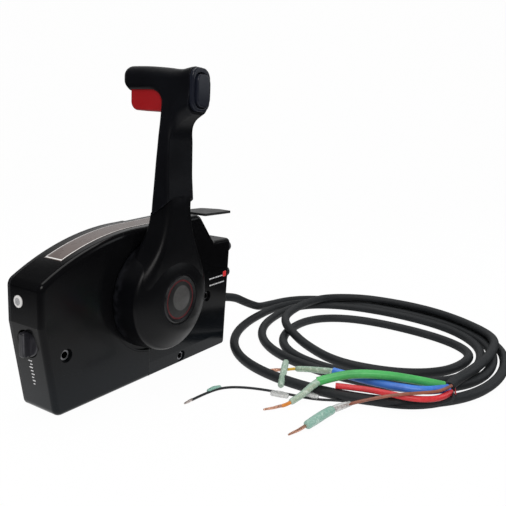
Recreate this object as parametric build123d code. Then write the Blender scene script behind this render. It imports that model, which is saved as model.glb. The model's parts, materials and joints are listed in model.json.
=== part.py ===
from build123d import *
import os
from math import acos, cos, degrees, pi, radians, sin, sqrt, tan

# Side-mount remote control for an outboard engine. Millimetres.
# X runs along the box, Y goes from the operator's side (-Y) to the mounting side (+Y), Z is up.
# The origin is on the flat base, straight below the lever's pivot axis, at mid-depth.
os.makedirs("parts", exist_ok=True)

# ---------------------------------------------------------------- driving dimensions
# fits
GAP = 0.3                    # between pieces that only lie against each other
RUN = 0.05                   # radial clearance of a running fit
SEAT = 0.02                  # radial clearance of a fixed fit

# box
DEPTH = 45.0
WALL = 2.6
HUB_Z = 90.8
BASE_LEFT = 126.5            # left end of the base, from the hub axis
END_LEFT = 140.6             # left end at its widest
END_KNEE_Z = 86.0            # where the left end turns upright
END_TOP_Z = 123.0
CROWN_X = 13.0               # end of the rounded top, left of the hub axis
CROWN_Z = 161.8
CROWN_MID_X = 80.0
CROWN_MID_Z = 151.0
PEAK_X = 74.5
PEAK_Z = 167.2
SLOPE_X = 102.0              # foot of the slope
SHELF_Z = 133.8
SHELF_X = 136.0
BASE_RIGHT = 130.5
EDGE_R = 5.0                 # rounding round the front face
PLATE_T = 4.7                # back housing plate
LIP_T = 2.0                  # lip of the back housing inside the covers
LIP_H = 4.0
SEAM_X = -7.0                # seam between the two front covers
SEAM_R = 61.5                # seam round the hub
CHAMFER_H = 16.0             # bevel along the foot of the right cover
CHAMFER_D = 1.6

# hub pocket and lever dome
POCKET_R = 60.0
POCKET_D = 3.0
DOME_R = 56.5                # at the housing
DOME_EDGE_R = 54.6           # at the shoulder
DOME_SHOULDER = 22.0         # shoulder in front of the face plane
DOME_FRONT = 35.0            # flat of the dome in front of the face plane
DOME_WALL = 4.5
DOME_BOSS = 6.0              # wall of the dome's boss round the shaft
CAP_R = 24.9
CAP_SEAT = 4.0               # depth of the cap ring's seat
CAP_DEPTH = 9.5              # shaft's end behind the stem's front
BOLT_HEAD_R = 8.0
FLARE_FOOT_Z = 98.0          # the arm starts inside the dome
LOCK_RING_R = 32.0
LOCK_RING_OUT = 19.0

# stem
STEM_FRONT = 33.0            # stem's front in front of the face plane
STEM_Z = 187.0               # where the flare becomes the straight stem
STEM_HALF = 18.0             # half width there
STEM_TOP_Z = 268.0
STEM_TOP_HALF = 15.6
STEM_REAR = 7.0              # stem's rear in front of the face plane, at STEM_Z
STEM_TOP_REAR = 13.5
STEM_R = 6.0
GRIP_PROUD = 1.2             # the cover stands out from the stem by this
GRIP_CORE = 2.4              # the core inside the cover is smaller than the stem by this
GRIP_EDGE_FRONT_Z = 194.0    # cover's slanted lower edge, at the front
GRIP_EDGE_SLOPE = 0.68
GRIP_LOW_Z = 172.0
GRIP_NECK_Z = 240.0

# grip bar, head and neck
BAR_Z = 306.5
BAR_HALF = 12.0
BAR_HIGH = 11.2
BAR_END = 47.5               # free end, behind the face plane
BAR_END_R = 9.0
HEAD_FRONT = 47.5            # head's front, in front of the face plane
HEAD_Z = 297.8
HEAD_HALF = 14.6
HEAD_HIGH = 20.0
TRIGGER_HALF = 8.5
TRIGGER_Z = 275.5
TRIGGER_TRAVEL = 6.0
TRIGGER_CLEAR = 0.5
TRIGGER_FRONT = 6.5          # trigger's front in front of the face plane
TRIGGER_BACK = 41.0          # trigger's rear behind it
TONGUE_Z = 281.0
TONGUE_T = 6.0
TONGUE_HALF = 4.0
TONGUE_END = 4.0
SPRING_R = 4.2
SPRING_ROOF = 301.0
ROD_R = 2.0
ROD_IN = 15.5                # lock rod's axis in front of the face plane

# rocker
BEZEL_HALF = 12.8
BEZEL_HIGH = 18.2
BEZEL_T = 4.0
ROCKER_HALF = 9.3
ROCKER_HIGH = 14.4
ROCKER_PROUD = 5.0
ROCKER_CLEAR = 0.7
ROCKER_DEEP = 5.0
ROCKER_WELL = 8.0            # depth of the well it rocks in
TRUNNION_R = 1.5
TRUNNION_OUT = 1.8
TRUNNION_IN = 1.4            # trunnions behind the head's front

# shaft and gears
SHAFT_R = 7.0
BUSH_T = 2.2
MODULE = 2.5
DRIVE_TEETH = 16
ARM_TEETH = 28
GEAR_T = 9.0
GEAR_Y = -8.6                # front face of the gears
GEAR_TILT = 22.5             # both driven gears lie this far below the hub's level
TOOTH_BACKLASH = 0.35
PRESSURE_ANGLE = 20.0
STUD_R = 5.0
ARM_T = 4.0
ARM_LENGTH = 36.0
ARM_HALF = 6.0
CLEVIS_R = 2.5
BRAKE_R = 24.0
COLLAR_R = 14.0
ROLLER_R = 4.0
NOTCH_D = 1.2
DETENT_STEP = 32.0
LEAF_LENGTH = 34.0
LEAF_T = 1.0
SECTOR_TEETH = 5             # teeth on each side of a sector's middle
REAR_BUSH_Y = 6.5

# mounting holes: name, x, z
MOUNTING_XZ = {"a": (-114.3, 56.0), "b": (46.6, 7.8), "c": (91.2, 69.2)}
BOLT_R = 3.3
SLEEVE_T = 1.3
COUNTERBORE_R = 6.4
COUNTERBORE_D = 3.0
BOSS_T = 2.4
SCREW_XZ = [(-126.0, 106.0), (-72.0, 140.5), (-11.0, 150.5), (98.0, 119.5), (119.0, 13.0), (-26.0, 11.5)]
SCREW_R = 1.9
SCREW_HEAD_R = 3.6
SCREW_HEAD_H = 2.2
SCREW_LENGTH = 16.0

# cable port and what is screwed inside the back housing
PORT_X = -99.0
PORT_Z = 20.0
PORT_W = 32.0
PORT_H = 20.0
PORT_R = 4.0
PORT_RIM = 5.0               # rim of the plate that frames the port
ANCHOR_W = 16.0
CABLE_GROOVE_R = 3.5
BUZZER_XZ = (-104.0, 108.0)
BUZZER_R = 12.0
BUZZER_H = 11.0

# free-throttle lever
FREE_ANGLE = 35.0
FREE_SWING = 32.0
FREE_T = 2.5
FREE_HALF = 8.0
FREE_EYE_R = 13.0
FREE_STUD_R = 5.0
TAB_LEFT = 89.0
TAB_RIGHT = 138.5
TAB_Z = 163.6
TAB_T = 2.8
TAB_FRONT = 5.0              # tab's near edge behind the face plane
FREE_POCKET_D = 3.9
PAD_T = 3.2

# left end: friction control and lens
KNOB_Z = 68.5
KNOB_R = 12.0
KNOB_CUP_R = 13.2
KNOB_CUP_D = 10.0
KNOB_BAR_HALF = 3.6
KNOB_BAR_OUT = 7.5
KNOB_SUNK = 3.6              # knob's face behind the end's outermost point
FRICTION_R = 3.0
SHOE_LENGTH = 14.0
SHOE_HIGH = 16.0
LENS_Y = 7.0
LENS_Z = 106.0
LENS_R = 5.5

# right end: switches and harness
KEY_Z = 118.0
KEY_R = 11.0
KEY_BODY_R = 8.5
KEY_DEPTH = 26.0
BARREL_R = 6.2
STOP_Z = 85.0
STOP_R = 12.6
STOP_BODY_R = 9.5
STOP_DEPTH = 22.0
STOP_TRAVEL = 3.0
PLUNGER_R = 4.0
SWITCH_OUT = 4.0             # nut thickness
BARREL_OUT = 10.5
HARNESS_Z = 51.0
HARNESS_D = 11.0
GROMMET_R = 8.6
GROMMET_OUT = 22.0
COIL_HIGH = 24.4

# leads
GREEN_D = 9.0
BLUE_D = 8.4
RED_D = 6.0
BLACK_D = 2.6
BROWN_D = 3.2

# ---------------------------------------------------------------- derived places
FRONT_Y = -DEPTH / 2
BACK_Y = DEPTH / 2
PARTING_Y = BACK_Y - PLATE_T
POCKET_Y = FRONT_Y + POCKET_D
INNER_Y = FRONT_Y + WALL
PAD_Y = BACK_Y - FREE_POCKET_D - PAD_T
DRIVE_PITCH_R = MODULE * DRIVE_TEETH / 2
ARM_PITCH_R = MODULE * ARM_TEETH / 2
GEAR_SPAN = DRIVE_PITCH_R + ARM_PITCH_R
BUSH_R = SHAFT_R + BUSH_T
ROD_Y = FRONT_Y - ROD_IN
HEAD_Y = FRONT_Y - HEAD_FRONT
STEM_Y = FRONT_Y - STEM_FRONT
DOME_Y = FRONT_Y - DOME_FRONT
DOME_BACK_Y = POCKET_Y - GAP
SHAFT_END_Y = STEM_Y + CAP_DEPTH
TRIGGER_FRONT_Y = FRONT_Y - TRIGGER_FRONT
TRIGGER_REAR_Y = FRONT_Y + TRIGGER_BACK
TRUNNION_Y = HEAD_Y + TRUNNION_IN
GEAR_BACK_Y = GEAR_Y + GEAR_T
COLLAR_END_Y = GEAR_BACK_Y + ARM_T
STUD_BOSS_Y = COLLAR_END_Y + 2.0
FREE_BACK_Y = BACK_Y - FREE_POCKET_D + GAP + FREE_T
KNOB_FACE_X = -END_LEFT + KNOB_SUNK


# ---------------------------------------------------------------- helpers
def save(shape, name):
    """Write one node."""
    export_step(shape, f"parts/{name}.step")


def slab(sketch, y_from, y_to):
    """Extrude a sketch drawn in X and Z from one depth to another."""
    return extrude(Plane.XZ.offset(-y_to) * sketch, amount=y_to - y_from)


def slab_x(sketch, x_from, x_to):
    """Extrude a sketch drawn in Y and Z from one X to another."""
    return extrude(Plane.YZ.offset(x_from) * sketch, amount=x_to - x_from)


def disc(x, z, r, y_from, y_to):
    """Round bar along Y."""
    return slab(Pos(x, z) * Circle(r), y_from, y_to)


def ring(x, z, r_out, r_in, y_from, y_to):
    """Tube along Y."""
    return slab(Pos(x, z) * (Circle(r_out) - Circle(r_in)), y_from, y_to)


def rod_x(y, z, r, x_from, x_to):
    """Round bar along X."""
    return slab_x(Pos(y, z) * Circle(r), x_from, x_to)


def turned(profile, x=0, z=HUB_Z):
    """Revolve a profile, drawn as radius and depth, round an axis along Y."""
    face = make_face(Polyline(*profile, close=True))
    return Pos(x, 0, z) * revolve(face, Axis.Y)


def rod_z(x, y, r, z_from, z_to):
    """Round bar along Z."""
    return Pos(x, y, z_from) * extrude(Circle(r), z_to - z_from)


def nearest_vertex(shape, *place):
    """The vertex nearest to a place."""
    return min(shape.vertices(), key=lambda v: (v.center() - Vector(*place)).length)


def polar(r, angle, x=0.0, z=0.0):
    """Point at a radius and an angle from +X towards +Z."""
    return (x + r * cos(radians(angle)), z + r * sin(radians(angle)))


# ---------------------------------------------------------------- box
def outline():
    """Side outline of the box, base on Z = 0."""
    a = (-BASE_LEFT, 0)
    b = (-END_LEFT, END_KNEE_Z)
    c = (-END_LEFT, END_TOP_Z)
    d = (-CROWN_X, CROWN_Z)
    e = (PEAK_X, PEAK_Z)
    f = (SLOPE_X, SHELF_Z)
    g = (SHELF_X, SHELF_Z)
    h = (BASE_RIGHT, 0)
    edges = [
        Line(a, b),
        Line(b, c),
        ThreePointArc(c, (-CROWN_MID_X, CROWN_MID_Z), d),
        Line(d, e),
        Line(e, f),
        Line(f, g),
        Line(g, h),
        Line(h, a),
    ]
    face = make_face(Curve() + edges)
    for corner, r in ((a, 9), (c, 9), (e, 12), (f, 6), (g, 5), (h, 4)):
        face = fillet(nearest_vertex(face, *corner), r)
    return face


def mounting_bosses(y_from, y_to):
    """Material round each mounting sleeve."""
    r = BOLT_R + SLEEVE_T + BOSS_T
    return [disc(x, z, r, y_from, y_to) for x, z in MOUNTING_XZ.values()]


def covers():
    """Both front covers as one shell, before they are parted."""
    side = outline()
    body = slab(side, FRONT_Y, PARTING_Y)
    rim = body.faces().sort_by(Axis.Y)[0].edges()
    body = fillet(rim, EDGE_R)
    cavity = slab(offset(side, amount=-WALL), INNER_Y, PARTING_Y)
    shell = body - cavity
    # thick disc behind the hub pocket, with the boss for the front bush
    shell += disc(0, HUB_Z, POCKET_R + WALL, INNER_Y, POCKET_Y + WALL)
    shell += disc(0, HUB_Z, BUSH_R + BOSS_T, POCKET_Y, GEAR_Y - 2 * GAP)
    for boss in mounting_bosses(INNER_Y, PARTING_Y):
        shell += boss & body
    for x, z in SCREW_XZ:
        shell += disc(x, z, SCREW_R + BOSS_T, INNER_Y, PARTING_Y - LIP_H) & body
    # cup for the friction knob
    shell += rod_x(0, KNOB_Z, KNOB_CUP_R + WALL, -END_LEFT, -END_LEFT + KNOB_CUP_D + 2 * WALL) & body
    # cuts
    shell -= disc(0, HUB_Z, POCKET_R, FRONT_Y, POCKET_Y)
    shell -= disc(0, HUB_Z, BUSH_R + SEAT, FRONT_Y, PARTING_Y)
    for x, z in MOUNTING_XZ.values():
        shell -= disc(x, z, COUNTERBORE_R, FRONT_Y, FRONT_Y + COUNTERBORE_D)
        shell -= disc(x, z, BOLT_R + SLEEVE_T + RUN, FRONT_Y, PARTING_Y)
    for x, z in SCREW_XZ:
        shell -= disc(x, z, SCREW_R, INNER_Y, PARTING_Y)
    shell -= rod_x(0, KNOB_Z, KNOB_CUP_R, -END_LEFT - WALL, -END_LEFT + KNOB_CUP_D)
    shell -= rod_x(0, KNOB_Z, FRICTION_R + GAP, -END_LEFT, -END_LEFT + KNOB_CUP_D + 3 * WALL)
    shell -= rod_x(LENS_Y, LENS_Z, LENS_R + GAP, -END_LEFT - WALL, -END_LEFT + 2 * WALL)
    shell -= rod_x(0, KEY_Z, KEY_BODY_R + GAP, BASE_RIGHT - 2 * WALL, SHELF_X + WALL)
    shell -= rod_x(0, STOP_Z, STOP_BODY_R + GAP, BASE_RIGHT - 2 * WALL, SHELF_X + WALL)
    shell -= rod_x(0, HARNESS_Z, GROMMET_R + GAP, BASE_RIGHT - 2 * WALL, SHELF_X + WALL)
    shell -= lever_slot(FREE_ANGLE, FREE_SWING, BACK_Y - FREE_POCKET_D, BACK_Y)
    # bevel along the foot of the right cover
    bevel = Polyline(
        (FRONT_Y, CHAMFER_H),
        (FRONT_Y + CHAMFER_D, 0),
        (FRONT_Y - WALL, 0),
        (FRONT_Y - WALL, CHAMFER_H),
        close=True,
    )
    shell -= slab_x(make_face(bevel), SEAM_X, SHELF_X)
    return shell


def front_covers():
    """The left cover, and the right cover that carries the hub pocket."""
    shell = covers()
    half = GAP / 2
    tall = 2 * PEAK_Z
    left_half = Pos(-tall + SEAM_X - half, 0) * Rectangle(2 * tall, 2 * tall)
    right_half = Pos(tall + SEAM_X + half, 0) * Rectangle(2 * tall, 2 * tall)
    hub = Pos(0, HUB_Z) * Circle(SEAM_R + half)
    hub_part = Pos(0, HUB_Z) * Circle(SEAM_R - half)
    left = shell & slab(left_half - hub, FRONT_Y - WALL, BACK_Y)
    right = shell & slab(right_half + hub_part, FRONT_Y - WALL, BACK_Y)
    return left, right


def lever_slot(angle, swing, y_from, y_to):
    """Room for the free-throttle lever as it swings, from the hub outwards."""
    margin = degrees(asin_clear(FREE_HALF + 1.0, FREE_EYE_R + FREE_HALF))
    low = angle - margin / 2
    high = angle + swing + margin / 2
    reach = 2 * PEAK_X
    fan = [(0, HUB_Z)]
    for step in range(5):
        fan.append(polar(reach, low + (high - low) * step / 4, 0, HUB_Z))
    sector = make_face(Polyline(*fan, close=True))
    return slab(sector, y_from, y_to) + disc(0, HUB_Z, FREE_EYE_R + FREE_HALF + 1.0, y_from, y_to)


def asin_clear(half, r):
    """Angle that a half width takes up at a radius, in radians."""
    return 2 * (pi / 2 - acos(half / r))


def back_housing():
    """Mounting half: plate, lip, bearing and stud bosses, with the free-throttle pocket behind."""
    side = outline()
    plate = slab(side, PARTING_Y, BACK_Y)
    plate = chamfer(plate.faces().sort_by(Axis.Y)[-1].edges(), 1.0)
    inside = offset(side, amount=-WALL - GAP)
    lip = slab(inside - offset(side, amount=-WALL - GAP - LIP_T), PARTING_Y - LIP_H, PARTING_Y)
    for x, z in SCREW_XZ:
        lip -= disc(x, z, SCREW_R + BOSS_T + GAP, PARTING_Y - LIP_H, PARTING_Y)
    for boss in mounting_bosses(PARTING_Y - LIP_H, PARTING_Y):
        lip -= boss
    lip -= rod_x(0, HARNESS_Z, GROMMET_R + 2, BASE_RIGHT - LIP_H * 3, SHELF_X)
    lip -= rod_x(0, KNOB_Z, KNOB_CUP_R + WALL + GAP, -END_LEFT, -END_LEFT + KNOB_CUP_D + 3 * WALL)
    pad_zone = lever_slot(FREE_ANGLE, FREE_SWING, PAD_Y, PARTING_Y) & slab(inside, PAD_Y, PARTING_Y)
    for x, z in SCREW_XZ:
        pad_zone -= disc(x, z, SCREW_R + BOSS_T + GAP, PAD_Y, PARTING_Y)
    body = plate + lip + pad_zone
    body += disc(0, HUB_Z, BUSH_R + BOSS_T, REAR_BUSH_Y, PARTING_Y)
    for x, z in stud_places():
        body += disc(x, z, STUD_R + BOSS_T + 1.0, STUD_BOSS_Y, PARTING_Y)
    body -= lever_slot(FREE_ANGLE, FREE_SWING, BACK_Y - FREE_POCKET_D, BACK_Y)
    body -= disc(0, HUB_Z, BUSH_R + SEAT, REAR_BUSH_Y, PAD_Y)
    body -= disc(0, HUB_Z, FREE_STUD_R + SEAT, REAR_BUSH_Y, BACK_Y)
    for x, z in stud_places():
        body -= disc(x, z, STUD_R + SEAT, STUD_BOSS_Y, PARTING_Y)
    for x, z in MOUNTING_XZ.values():
        body -= disc(x, z, BOLT_R + SLEEVE_T + RUN, PARTING_Y - LIP_H, BACK_Y)
    for x, z in SCREW_XZ:
        body -= disc(x, z, SCREW_R + GAP, PARTING_Y - LIP_H, BACK_Y)
        body -= disc(x, z, SCREW_HEAD_R + GAP, BACK_Y - SCREW_HEAD_H - GAP, BACK_Y)
    return body - slab(port_sketch(PORT_RIM + SEAT), PARTING_Y - LIP_H, BACK_Y)


def port_sketch(grow=0.0):
    """Outline of the cable port, optionally grown all round."""
    return Pos(PORT_X, PORT_Z) * RectangleRounded(PORT_W + 2 * grow, PORT_H + 2 * grow, PORT_R)


def cable_port_plate():
    """Snap-in plate that frames the cable port."""
    return slab(port_sketch(PORT_RIM) - port_sketch(), PARTING_Y, BACK_Y)


def mounting_sleeves():
    """One steel sleeve through each mounting hole."""
    y_from = FRONT_Y + COUNTERBORE_D
    return [ring(x, z, BOLT_R + SLEEVE_T, BOLT_R, y_from, BACK_Y) for x, z in MOUNTING_XZ.values()]


def cover_screws():
    """Screws that hold the back housing to the covers."""
    screws = []
    for x, z in SCREW_XZ:
        head = disc(x, z, SCREW_HEAD_R, BACK_Y - SCREW_HEAD_H, BACK_Y - GAP)
        head -= slab(Pos(x, z) * Rectangle(SCREW_HEAD_R * 1.6, 1.0), BACK_Y - SCREW_HEAD_H / 2, BACK_Y)
        shank = disc(x, z, SCREW_R - SEAT, PARTING_Y - SCREW_LENGTH, BACK_Y - SCREW_HEAD_H)
        screws.append(head + shank)
    return screws


# ---------------------------------------------------------------- gears
def involute(angle_cos):
    """Involute function of the angle that has this cosine."""
    share = min(angle_cos, 1)
    return sqrt(1 / share ** 2 - 1) - acos(share)


def tooth_outline(teeth, first, last, phase, thinning):
    """Outline points of involute teeth between two tooth numbers, tooth 0 centred on the phase angle."""
    pitch_r = MODULE * teeth / 2
    base_r = pitch_r * cos(radians(PRESSURE_ANGLE))
    tip_r = pitch_r + MODULE
    root_r = pitch_r - 1.25 * MODULE
    half = (pi * MODULE / 2 - thinning) / (2 * pitch_r)
    start_r = max(base_r, root_r)
    radii = [start_r + (tip_r - start_r) * k / 3 for k in range(4)]
    points = []
    for n in range(first, last + 1):
        centre = radians(phase) + n * 2 * pi / teeth
        gap_half = pi / teeth
        points.append((root_r, centre - gap_half))
        flank = [(r, half + involute(base_r / pitch_r) - involute(base_r / r)) for r in radii]
        points.append((root_r, centre - flank[0][1]))
        points += [(r, centre - a) for r, a in flank]
        points += [(r, centre + a) for r, a in reversed(flank)]
        points.append((root_r, centre + flank[0][1]))
    points.append((root_r, radians(phase) + last * 2 * pi / teeth + pi / teeth))
    return [(r * cos(a), r * sin(a)) for r, a in points]


def drive_gear():
    """Gear fixed on the main shaft, with the detent collar behind it."""
    teeth = tooth_outline(DRIVE_TEETH, 0, DRIVE_TEETH - 1, -GEAR_TILT, TOOTH_BACKLASH / 2)
    gear = slab(make_face(Polyline(*teeth[:-1], close=True)), GEAR_Y, GEAR_BACK_Y)
    collar = Circle(COLLAR_R)
    for angle in (90, 90 + DETENT_STEP, 90 - DETENT_STEP):
        collar -= Pos(*polar(COLLAR_R + ROLLER_R - NOTCH_D, angle)) * Circle(ROLLER_R + GAP)
    gear += slab(collar, GEAR_BACK_Y, COLLAR_END_Y)
    gear -= slab(Circle(SHAFT_R + SEAT), GEAR_Y, COLLAR_END_Y)
    return Pos(0, 0, HUB_Z) * gear


def stud_places():
    """Centres of the two driven gears: throttle on the left, shift on the right."""
    drop = GEAR_SPAN * sin(radians(GEAR_TILT))
    reach = GEAR_SPAN * cos(radians(GEAR_TILT))
    return [(-reach, HUB_Z - drop), (reach, HUB_Z - drop)]


def sector_gear(place, facing):
    """Driven gear sector with its hub, at the given centre; facing is the angle towards the drive gear."""
    phase = facing + 180.0 / ARM_TEETH
    teeth = tooth_outline(ARM_TEETH, -SECTOR_TEETH, SECTOR_TEETH - 1, phase, TOOTH_BACKLASH / 2)
    sector = make_face(Polyline((0, 0), *teeth, close=True))
    blank = slab(sector + Circle(STUD_R + 4.0), GEAR_Y, GEAR_BACK_Y)
    return Pos(place[0], 0, place[1]) * blank


def gear_arm(place):
    """Arm that points down from a driven gear's hub to its clevis hole."""
    x, z = place
    bar = Pos(x, z - ARM_LENGTH / 2) * Rectangle(2 * ARM_HALF, ARM_LENGTH)
    eye = Pos(x, z - ARM_LENGTH) * Circle(ARM_HALF)
    hub = Pos(x, z) * Circle(STUD_R + 5.0)
    arm = slab(bar + eye + hub, GEAR_BACK_Y, COLLAR_END_Y)
    return arm - disc(x, z - ARM_LENGTH, CLEVIS_R, GEAR_BACK_Y, COLLAR_END_Y)


def throttle_gear():
    """Driven gear, arm and brake disc for the throttle cable."""
    place = stud_places()[0]
    body = sector_gear(place, GEAR_TILT) + gear_arm(place)
    body += disc(*place, BRAKE_R, GEAR_BACK_Y, COLLAR_END_Y)
    return body - disc(*place, STUD_R + RUN, GEAR_Y, COLLAR_END_Y)


def shift_gear():
    """Driven gear and arm for the shift cable."""
    place = stud_places()[1]
    body = sector_gear(place, 180 - GEAR_TILT) + gear_arm(place)
    return body - disc(*place, STUD_R + RUN, GEAR_Y, COLLAR_END_Y)


def gear_studs():
    """Two studs from the back housing, headed in front of the gears."""
    studs = []
    for x, z in stud_places():
        stud = disc(x, z, STUD_R, GEAR_Y - 1.5, PARTING_Y)
        studs.append(stud + disc(x, z, STUD_R + 2.5, GEAR_Y - 1.5, GEAR_Y - GAP))
    return studs


def clevis_pin(place):
    """Pin at the end of a gear's arm for the cable end."""
    x, z = place[0], place[1] - ARM_LENGTH
    y_from = GEAR_BACK_Y - 4.0
    pin = disc(x, z, CLEVIS_R - SEAT, y_from, STUD_BOSS_Y)
    return pin + disc(x, z, CLEVIS_R + 1.5, y_from, GEAR_BACK_Y - GAP)


# ---------------------------------------------------------------- lever
def main_shaft():
    """Steel shaft from the lever to the rear bush, with a flange behind the front bush."""
    return disc(0, HUB_Z, SHAFT_R, SHAFT_END_Y, PAD_Y - GAP)


def shaft_bushes():
    """Front bush in the right cover, rear bush in the back housing."""
    front = ring(0, HUB_Z, BUSH_R, SHAFT_R + RUN, POCKET_Y, GEAR_Y - GAP)
    front += ring(0, HUB_Z, BUSH_R + 2.0, SHAFT_R + RUN, POCKET_Y - 1.0, POCKET_Y)
    rear = ring(0, HUB_Z, BUSH_R, SHAFT_R + RUN, COLLAR_END_Y + GAP, PAD_Y)
    return front, rear


def flare_half(z):
    """Half width of the lever at a height: dome circle, concave flare tangent to it, then the stem."""
    rise = STEM_Z - HUB_Z
    grow = rise ** 2 - (DOME_EDGE_R ** 2 - STEM_HALF ** 2)
    flare_r = grow / (2 * (DOME_EDGE_R - STEM_HALF))
    tangent_z = HUB_Z + rise * DOME_EDGE_R / (DOME_EDGE_R + flare_r)
    if z < tangent_z:
        return sqrt(DOME_EDGE_R ** 2 - (z - HUB_Z) ** 2)
    return STEM_HALF + flare_r - sqrt(flare_r ** 2 - (STEM_Z - z) ** 2)


def stem_section(z, half, y_front, y_rear, r):
    """Rounded rectangle across the stem."""
    middle = (y_front + y_rear) / 2
    return Plane.XY.offset(z) * Pos(0, middle) * RectangleRounded(2 * half, y_rear - y_front, r)


def stem_size(z, grow):
    """Half width and rear of the stem at a height, grown all round."""
    share = (z - STEM_Z) / (STEM_TOP_Z - STEM_Z)
    half = STEM_HALF + (STEM_TOP_HALF - STEM_HALF) * share + grow
    return half, FRONT_Y - STEM_REAR - (STEM_TOP_REAR - STEM_REAR) * share + grow


def stem_at(z, grow=0.0):
    """Stem section at a height, optionally grown all round."""
    half, rear = stem_size(z, grow)
    return stem_section(z, half, STEM_Y - grow, rear, STEM_R)


def core(z_from, z_to, inset):
    """Square-cornered core of the stem, smaller all round by the inset."""
    sections = []
    for z in (z_from, z_to):
        half, rear = stem_size(z, -inset)
        front = STEM_Y + inset
        sections.append(Plane.XY.offset(z) * Pos(0, (front + rear) / 2) * Rectangle(2 * half, rear - front))
    return loft(sections, ruled=True)


def grip_cut():
    """Everything above the slanted lower edge of the grip cover."""
    front = (STEM_Y - 10, GRIP_EDGE_FRONT_Z + 10 * GRIP_EDGE_SLOPE)
    rear = (FRONT_Y + 10, GRIP_EDGE_FRONT_Z - (FRONT_Y + 10 - STEM_Y) * GRIP_EDGE_SLOPE)
    top = 2 * BAR_Z
    zone = make_face(Polyline(front, rear, (rear[0], top), (front[0], top), close=True))
    return slab_x(zone, -2 * DOME_R, 2 * DOME_R)


def dome():
    """Hollow dome over the hub."""
    shoulder = FRONT_Y - DOME_SHOULDER
    boss = SHAFT_R + DOME_BOSS
    boss_end = DOME_BACK_Y - 1.0
    inner_r = DOME_EDGE_R - DOME_WALL - 2
    crown = [(CAP_R + 1.5, DOME_Y), (40.0, DOME_Y + 3.4), (50.6, DOME_Y + 8.4)]
    edge = [crown[-1], (53.4, DOME_Y + 10.4), (DOME_EDGE_R, shoulder)]
    inside = [
        (DOME_EDGE_R, shoulder),
        (DOME_R, DOME_BACK_Y),
        (DOME_R - DOME_WALL, DOME_BACK_Y),
        (inner_r, shoulder + 2),
        (boss, shoulder + 2),
        (boss, boss_end),
        (0, boss_end),
        (0, DOME_Y),
        crown[0],
    ]
    profile = make_face(Curve() + [ThreePointArc(*crown), ThreePointArc(*edge), Polyline(*inside)])
    return Pos(0, 0, HUB_Z) * revolve(profile, Axis.Y)


def arm_sections():
    """Sections of the flared arm: height, front, rear and corner radius, from inside the dome to the stem."""
    rear_in = DOME_BACK_Y
    rear_out = FRONT_Y - STEM_REAR
    rows = [
        (FLARE_FOOT_Z, STEM_Y + 4.0, rear_in, 15.0),
        (115.0, STEM_Y + 1.5, rear_in, 15.0),
        (128.0, STEM_Y + 0.5, rear_in - 0.8, 11.0),
        (142.0, STEM_Y, rear_in - 3.0, 7.5),
        (158.0, STEM_Y, rear_out + 2.6, STEM_R),
        (STEM_Z - 14.0, STEM_Y, rear_out + 0.8, STEM_R),
        (STEM_Z, STEM_Y, rear_out, STEM_R),
    ]
    return [stem_section(z, flare_half(z), front, rear, r) for z, front, rear, r in rows]


def lever_arm():
    """Casting: dome, flared arm and the core that runs up inside the grip cover."""
    shoulder = FRONT_Y - DOME_SHOULDER
    inner = disc(0, HUB_Z, DOME_R - DOME_WALL - 2.0, shoulder + 2, POCKET_Y)
    tall = 2 * STEM_TOP_Z
    zone = slab(Rectangle(tall, 2 * tall), STEM_Y - 1, DOME_BACK_Y)
    zone -= slab(Rectangle(tall, 2 * tall) - Pos(0, HUB_Z) * Circle(DOME_R), FRONT_Y - 2 * GAP, DOME_BACK_Y)
    body = dome() + ((loft(arm_sections()) & zone) - inner - grip_cut())
    stem = loft([stem_at(STEM_Z), stem_at(STEM_TOP_Z)], ruled=True)
    body += stem - grip_cut()
    body += core(GRIP_LOW_Z, STEM_TOP_Z, GRIP_CORE)
    # hub recess, bolt recess, shaft bore and the lock rod's bore
    body -= disc(0, HUB_Z, CAP_R + GAP, DOME_Y - 5, DOME_Y + CAP_SEAT)
    body -= disc(0, HUB_Z, BOLT_HEAD_R + 3, DOME_Y, SHAFT_END_Y)
    body -= disc(0, HUB_Z, SHAFT_R + SEAT, DOME_Y, POCKET_Y)
    return body - rod_z(0, ROD_Y, ROD_R + GAP, HUB_Z + LOCK_RING_R, 2 * STEM_TOP_Z)


def hub_parts():
    """Cap ring, red ring, domed disc and the bolt beneath them."""
    seat = DOME_Y + CAP_SEAT - GAP / 3
    lip = DOME_Y - 0.8
    ring_in = CAP_R - 4.4
    red_out = ring_in - 0.1
    red_in = red_out - 1.7
    cap = turned([(ring_in, seat), (CAP_R, seat), (CAP_R, lip + 1.4), (CAP_R - 1.4, lip), (ring_in, lip + 1)])
    red = turned([(red_in, seat), (red_out, seat), (red_out, DOME_Y + 0.6), (red_in, DOME_Y + 0.6)])
    disc_r = red_in - 0.1
    rise = 2.8
    crown_r = (disc_r ** 2 + rise ** 2) / (2 * rise)
    front = DOME_Y + 0.4 - rise
    button = disc(0, HUB_Z, disc_r, front, seat) & Pos(0, front + crown_r, HUB_Z) * Sphere(crown_r)
    washer = SHAFT_END_Y - 1.2
    bolt = slab(Pos(0, HUB_Z) * RegularPolygon(BOLT_HEAD_R, 6), washer - 3.8, washer)
    bolt += disc(0, HUB_Z, BOLT_HEAD_R + 2, washer, SHAFT_END_Y)
    return cap, red, button, bolt


# ---------------------------------------------------------------- grip
def bar_section(y, z, half, high):
    """Section across the grip bar."""
    r = min(half, high) * 0.97
    return Plane.XZ.offset(-y) * Pos(0, z) * RectangleRounded(2 * half, 2 * high, r)


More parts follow.
